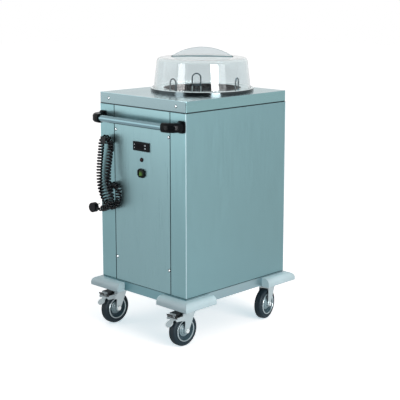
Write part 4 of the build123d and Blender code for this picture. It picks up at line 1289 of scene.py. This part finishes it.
# ---------------------------------------------------------------------------- fittings
@dataclass
class Screws(Assembly):
    """The cross-head screws of the front panel and the worktop lip, on dark seats of painted shade.
    """

    head_radius: float = 0.004
    head_height: float = 0.0024
    head_edge: float = 0.35  # share of the head's height that its edge has
    shank_radius: float = 0.002
    shank_length: float = 0.009
    recess: float = 0.0011
    recess_half: tuple[float, float] = (0.0023, 0.00045)
    recess_clear: float = 0.001
    recess_turn: float = 0.4
    turn_between: float = 0.7
    sides: int = 32
    panel_x: float = 0.149
    panel_rows: tuple[float, float] = (0.797, 0.288)
    # the dark seat under each head, painted shade round it
    shade_seat: Profile = ((0.0021, 0.0), (0.0021, 0.0004), (0.0061, 0.0004), (0.0064, 0.0))

    def model(self) -> Piece:
        """One screw, its head towards +Z.

        Returns:
            The screw, at the origin.
        """
        radius, height = self.head_radius, self.head_height
        edge, dome = self.head_edge, 1 - self.head_edge
        rings = [(0.0, height)]
        for angle in quarter(6)[1:]:
            rings.append((radius * math.sin(angle), height * (edge + dome * math.cos(angle))))
        rings += [
            (radius, 0.0),
            (self.shank_radius, 0.0),
            (self.shank_radius, -self.shank_length),
            (0.0, -self.shank_length),
        ]
        screw = turned("screw", rings, self.sides)
        arm, half = self.recess_half
        low, above = height - self.recess, height + self.recess_clear
        for turn in (0, math.pi / 2):
            tool = block("recess", (-arm, -half, low), (arm, half, above))
            settle(tool, Matrix.Rotation(turn + self.recess_turn, 4, "Z"))
            screw = cut(screw, tool)
        return closed_up(screw)

    def build(self) -> None:
        """Makes all the screws as one piece, and their dark seats of painted shade as another."""
        low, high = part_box("cover_screws")
        lip_x, lip_z = high[0] - self.head_radius, high[2] - self.head_radius
        spots = [(-lip_x, lip_z), (lip_x, lip_z)]
        spots += [(x, z) for x in (-self.panel_x, self.panel_x) for z in self.panel_rows]
        places = [along(FORWARD, (x, low[1] + self.head_height, z)) for x, z in spots]
        turns = [
            place @ Matrix.Rotation(self.turn_between * index, 4, "Z")
            for index, place in enumerate(places)
        ]
        screws = smoothed(repeated(self.model(), turns, "panel_screws"))
        self.fit(screws, "root", self.finishes.screw, "ring_steel", ("cover_screws",))
        shade_seat = turned("shade_seat", self.shade_seat, self.sides, loop=True)
        seats = smoothed(repeated(shade_seat, places, "screw_seats_painted_shade"))
        self.fit(seats, "root", self.finishes.shade_seat, "bracket_plastic")


@dataclass
class Controls(Assembly):
    """The controller, the pilot lamp and the power switch."""

    arrow_radius: float = 0.00266
    bar_radius: float = 0.00112
    bar_stretch: tuple[float, float, float] = (1.5, 1.0, 0.7)
    mark_depth: float = 0.0005
    mark_sink: float = 0.00005
    mark_bevel: float = 0.00012
    lamp_reach: float = 0.007
    lens_radius: float = 0.0064
    lens_seat: float = 0.0023
    lens_wall: float = 0.0034
    lens_fullness: float = 0.98  # at 1 the lens would be a quarter of an ellipse
    lamp_sides: int = 40
    lit_spot: tuple[float, float] = (0.006, 0.007)  # from the rocker's lower left corner
    bezel: Profile = (
        (0.0, -0.022),
        (0.006, -0.022),
        (0.006, 0.0),
        (0.0085, 0.0),
        (0.0085, 0.0018),
        (0.0078, 0.0029),
        (0.0070, 0.0030),
        (0.0067, 0.0022),
        (0.0, 0.0022),
    )

    def build(self) -> None:
        """Dresses the controls and adds the marks on the keys."""
        finishes = self.finishes
        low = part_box("switch_rocker")[0]
        lit = Vector((low[0] + self.lit_spot[0], low[1], low[2] + self.lit_spot[1]))
        self.dress({
            "controller_body": finishes.controls,
            "switch_frame": finishes.controls,
            "controller_window": finishes.window,
            "key_up": finishes.keys,
            "key_down": finishes.keys,
            "key_set": finishes.pale_keys,
            "key_power": finishes.pale_keys,
            "switch_rocker": Lit(
                "lit_rocker", (0.014, 0.034, 0.01), (0.07, 0.165, 0.014), lit, 0.015, 0.9
            ),
        })
        self._mark("key_up", finishes.marks, True)
        self._mark("key_down", finishes.marks, True, math.pi)
        self._mark("key_set", finishes.keys, False)
        self._mark("key_power", finishes.keys, False)
        self._lamp()

    def _mark(self, key: str, finish: Finish, arrow: bool, turn: float = 0.0) -> None:
        """The raised mark on a key's face.

        Args:
            key: The key's name.
            finish: The mark's finish.
            arrow: Whether it is an arrow. Otherwise it is a bar.
            turn: How far the arrow is turned from pointing up.
        """
        low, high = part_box(key)
        face = ((low[0] + high[0]) / 2, low[1] - self.mark_sink, (low[2] + high[2]) / 2)
        corners, radius = (3, self.arrow_radius) if arrow else (4, self.bar_radius)
        deselect()
        bpy.ops.mesh.primitive_cylinder_add(vertices=corners, radius=radius, depth=self.mark_depth)
        piece = named(f"{key}_mark")
        place = Matrix.Rotation(turn, 4, "Y") @ Matrix.Rotation(math.pi / 2, 4, "X")
        if not arrow:
            spin = Matrix.Rotation(math.pi / 4, 4, "Z")
            place = Matrix.Diagonal((*self.bar_stretch, 1.0)) @ place @ spin
        settle(piece, Matrix.Translation(face) @ place)
        with editing():
            bpy.ops.mesh.bevel(offset=self.mark_bevel, segments=2, affect="EDGES")
        self.fit(piece, key, finish, "key_plastic")

    def _lamp(self) -> None:
        """The pilot lamp's black bezel and its red lens."""
        low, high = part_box("pilot_lamp")
        tip = Vector(((low[0] + high[0]) / 2, low[1], (low[2] + high[2]) / 2))
        place = along(FORWARD, tip - Vector(FORWARD) * self.lamp_reach)
        dome = self.lamp_reach - self.lens_wall
        lens = [(0.0, self.lens_seat), (self.lens_radius, self.lens_seat)]
        for angle in quarter(6)[:-1]:
            wide = self.lens_radius * math.cos(angle * self.lens_fullness)
            lens.append((wide, self.lens_wall + dome * math.sin(angle)))
        lens.append((0.0, self.lamp_reach))
        red = Lit("red_lens", (0.03, 0.003, 0.006), (0.02, 0.0, 0.002), tip, 0.009, 0.2)
        parts = (("lamp_bezel", self.bezel, self.finishes.controls), ("lamp_lens", lens, red))
        for name, rings, finish in parts:
            piece = smoothed(settle(turned(name, rings, self.lamp_sides), place))
            self.fit(piece, "root", finish, "lamp_plastic", ("pilot_lamp",))


@dataclass
class Cabinet(Assembly):
    """The sheet metal body, its frames and what stands in it."""

    def build(self) -> None:
        """Dresses the cabinet's nodes."""
        finishes = self.finishes
        finish_of: dict[str, Finish] = {
            "worktop": finishes.top,
            "side_panel_left": finishes.side,
            "side_panel_right": finishes.side,
            "service_panel": finishes.front,
            "back_panel": finishes.rear,
            "base_frame": finishes.chassis,
            "base_plate": finishes.inner,
            "panel_feet": finishes.inner,
            "top_frame": finishes.inner,
            "plate_tube": finishes.well,
            "collar_ring": finishes.ring,
            "plate_guides": finishes.wire,
            "lift_platform": finishes.zinc,
            "guide_rods": finishes.rods,
            "lift_springs": finishes.spring,
            "heating_element": finishes.heater,
            "heat_sensor": finishes.zinc,
            "castor_plates": finishes.zinc,
            "dome_cover": finishes.clear,
            "handle_tube": finishes.tube,
            "handle_bracket_left": finishes.bracket,
            "handle_bracket_right": finishes.bracket,
        }
        for corner in Corner:
            finish_of[f"bumper_{corner.value}"] = finishes.bumper
        self.dress(finish_of)


# ---------------------------------------------------------------------------- studio
@dataclass(frozen=True)
class Stand:
    """A lamp or a card: its place, the point that it faces, its size and its strength.

    A lamp's strength is in watts. A card's is a brightness, and 1 is as bright as the surround.
    """

    name: str
    place: tuple[float, float, float]
    target: tuple[float, float, float]
    size: tuple[float, float]
    strength: float

    def placement(self, front: str) -> Matrix:
        """Stands it in its place with one of its axes towards its target."""
        way = Vector(self.target) - Vector(self.place)
        return Matrix.Translation(self.place) @ way.to_track_quat(front, "Y").to_matrix().to_4x4()


@dataclass
class Studio:
    """The camera, lights, floor and backdrop."""

    frame_pixels: float = 400.0
    focal_pixels: float = 1044.648
    centre_pixels: tuple[float, float] = (225.0, 166.5)
    eye: tuple[float, float, float] = (2.92105, -2.88092, 1.38004)
    right: tuple[float, float, float] = (0.72504034, 0.68869441, 0.00406269)
    up: tuple[float, float, float] = (-0.12596267, 0.12680623, 0.98389714)
    back: tuple[float, float, float] = (0.67708929, -0.71387687, 0.17868942)
    sensor: float = 36.0
    farthest: float = 60.0
    ambient: float = 0.56
    daylight: Colour = (0.93, 0.97, 1.0)
    floor_size: float = 30.0
    floor_drop: float = 0.0002
    floor_plain: Colour = (0.36, 0.38, 0.4)
    floor_seen: Colour = (1.3, 0.98, 0.86)
    floor_lift: Colour = (0.42, 0.56, 0.62)
    floor_mirrored_lift: Colour = (0.66, 0.66, 0.66)
    lamps: tuple[Stand, ...] = (
        Stand("key_lamp", (3.7, -0.3, 1.35), (0, 0, 0.4), (2.4, 1.8), 84.0),
        Stand("front_lamp", (-1.2, -3.2, 3.2), (0, 0, 0.6), (1.6, 1.6), 4.0),
    )
    cards: tuple[Stand, ...] = (
        Stand("near_strip", (3.08, -0.82, 1.17), (0, 0.06, 1.17), (1.05, 1.85), 26.0),
        Stand("far_strip", (-0.30, -3.2, 1.17), (0, 0.06, 1.17), (1.05, 1.85), 11.0),
        Stand("front_glow", (-2.2, -2.4, 1.3), (0, 0, 0.9), (2.6, 1.8), 2.0),
        Stand("side_flag", (2.4, 2.2, 0.02), (2.4, 2.2, 5.0), (3.6, 2.6), 0.9),
        Stand("dark_flag", (3.48, -3.86, 1.3), (0, 0, 4.0), (7.0, 2.6), 0.0),
    )

    def camera(self) -> None:
        """The camera, at the photograph's angle."""
        data = bpy.data.cameras.new("photo_camera")
        data.sensor_width = self.sensor
        data.lens = self.focal_pixels / self.frame_pixels * self.sensor
        data.shift_x = 0.5 - self.centre_pixels[0] / self.frame_pixels
        data.shift_y = self.centre_pixels[1] / self.frame_pixels - 0.5
        data.clip_end = self.farthest
        camera = bpy.data.objects.new("photo_camera", data)
        columns = zip(self.right, self.up, self.back, self.eye)
        camera.matrix_world = Matrix([*columns, (0.0, 0.0, 0.0, 1.0)])
        bpy.context.scene.collection.objects.link(camera)
        bpy.context.scene.camera = camera

    def world(self) -> None:
        """A white surround for what is seen or mirrored, and a plainer one for light."""
        world = bpy.data.worlds.new("surround")
        bpy.context.scene.world = world
        tree, output = emptied(world, "ShaderNodeOutputWorld")
        sides = []
        for colour, strength in ((self.daylight, self.ambient), ((1.0, 1.0, 1.0), 1.0)):
            light = tree.nodes.new("ShaderNodeBackground")
            light.inputs["Color"].default_value = (*colour, 1.0)
            light.inputs["Strength"].default_value = strength
            sides.append(light.outputs[0])
        tree.links.new(self._either(tree, self._plainly_seen(tree), *sides), output)

    @staticmethod
    def _either(tree: Tree, share: Socket, first: Socket, second: Socket) -> Socket:
        """Shows one of two shaders.

        Args:
            tree: The node tree.
            share: 0 for the first and 1 for the second.
            first: The first shader.
            second: The second shader.

        Returns:
            The shader that shows.
        """
        mix = tree.nodes.new("ShaderNodeMixShader")
        for index, source in enumerate((share, first, second)):
            tree.links.new(source, mix.inputs[index])
        return mix.outputs[0]

    @staticmethod
    def _plainly_seen(tree: Tree) -> Socket:
        """Tells rays that see a thing from rays that light it.

        Args:
            tree: The node tree.

        Returns:
            1 for rays from the camera, and for mirrored and transmitted ones.
        """
        path = tree.nodes.new("ShaderNodeLightPath")
        total = path.outputs["Is Camera Ray"]
        for name in ("Is Glossy Ray", "Is Transmission Ray"):
            node = tree.nodes.new("ShaderNodeMath")
            node.operation = "MAXIMUM"
            tree.links.new(total, node.inputs[0])
            tree.links.new(path.outputs[name], node.inputs[1])
            total = node.outputs[0]
        return total

    def floor(self) -> None:
        """A pale floor that keeps the cart's shadow."""
        deselect()
        bpy.ops.mesh.primitive_plane_add(size=self.floor_size, location=(0, 0, -self.floor_drop))
        floor = named("studio_floor")
        material = bpy.data.materials.new("pale_floor")
        tree, output = emptied(material, "ShaderNodeOutputMaterial")
        seen = self._sheet(tree, self.floor_seen, self.floor_lift)
        mirrored = self._sheet(tree, self.floor_plain, self.floor_mirrored_lift)
        plain = self._sheet(tree, self.floor_plain, (0.0, 0.0, 0.0))
        unseen = self._either(tree, self._plainly_seen(tree), plain, mirrored)
        from_camera = tree.nodes.new("ShaderNodeLightPath").outputs["Is Camera Ray"]
        tree.links.new(self._either(tree, from_camera, unseen, seen), output)
        floor.data.materials.append(material)

    @staticmethod
    def _sheet(tree: Tree, matt: Colour, lift: Colour) -> Socket:
        """Makes a matt surface with an even lift.

        Args:
            tree: The node tree.
            matt: The surface's colour.
            lift: The light that it gives.

        Returns:
            The surface's shader.
        """
        diffuse = tree.nodes.new("ShaderNodeBsdfDiffuse")
        diffuse.inputs["Color"].default_value = (*matt, 1.0)
        glow = tree.nodes.new("ShaderNodeEmission")
        glow.inputs["Color"].default_value = (*lift, 1.0)
        both = tree.nodes.new("ShaderNodeAddShader")
        tree.links.new(diffuse.outputs[0], both.inputs[0])
        tree.links.new(glow.outputs[0], both.inputs[1])
        return both.outputs[0]

    def lamp(self, stand: Stand) -> None:
        """A soft rectangular lamp, which mirrors don't show.

        Args:
            stand: Where it stands, and how large and strong it is.
        """
        data = bpy.data.lights.new(stand.name, "AREA")
        data.shape = "RECTANGLE"
        data.size, data.size_y = stand.size
        data.energy = stand.strength
        lamp = bpy.data.objects.new(stand.name, data)
        lamp.visible_glossy = False
        lamp.matrix_world = stand.placement("-Z")
        bpy.context.scene.collection.objects.link(lamp)

    def card(self, stand: Stand) -> None:
        """A flat card that only mirrors show: a dark flag, or a bright strip of light.

        Args:
            stand: Where it stands, and how large and bright it is.
        """
        deselect()
        bpy.ops.mesh.primitive_plane_add(size=1.0)
        card = named(stand.name)
        card.matrix_world = stand.placement("Z") @ Matrix.Diagonal((*stand.size, 1.0, 1.0))
        material = bpy.data.materials.new(stand.name)
        tree, output = emptied(material, "ShaderNodeOutputMaterial")
        light = tree.nodes.new("ShaderNodeEmission")
        light.inputs["Strength"].default_value = stand.strength
        tree.links.new(light.outputs[0], output)
        card.data.materials.append(material)
        card.visible_camera = False
        card.visible_diffuse = False
        card.visible_transmission = False
        card.visible_shadow = False

    def build(self) -> None:
        """Sets up the studio."""
        self.camera()
        self.world()
        self.floor()
        for stand in self.lamps:
            self.lamp(stand)
        for stand in self.cards:
            self.card(stand)
        bpy.context.scene.view_settings.view_transform = "Standard"


def main() -> None:
    """Builds the cart's looks round its frame."""
    logging.basicConfig(level=logging.INFO, format="%(name)s: %(message)s")
    Studio().build()
    paint, finishes = Paint(), Finishes()
    for assembly in (SupplyCord, Cabinet, Screws, Controls):
        assembly(paint, finishes).build()
    for corner in Corner:
        Castor(paint, finishes, corner).build()


if __name__ == "__main__":
    main()
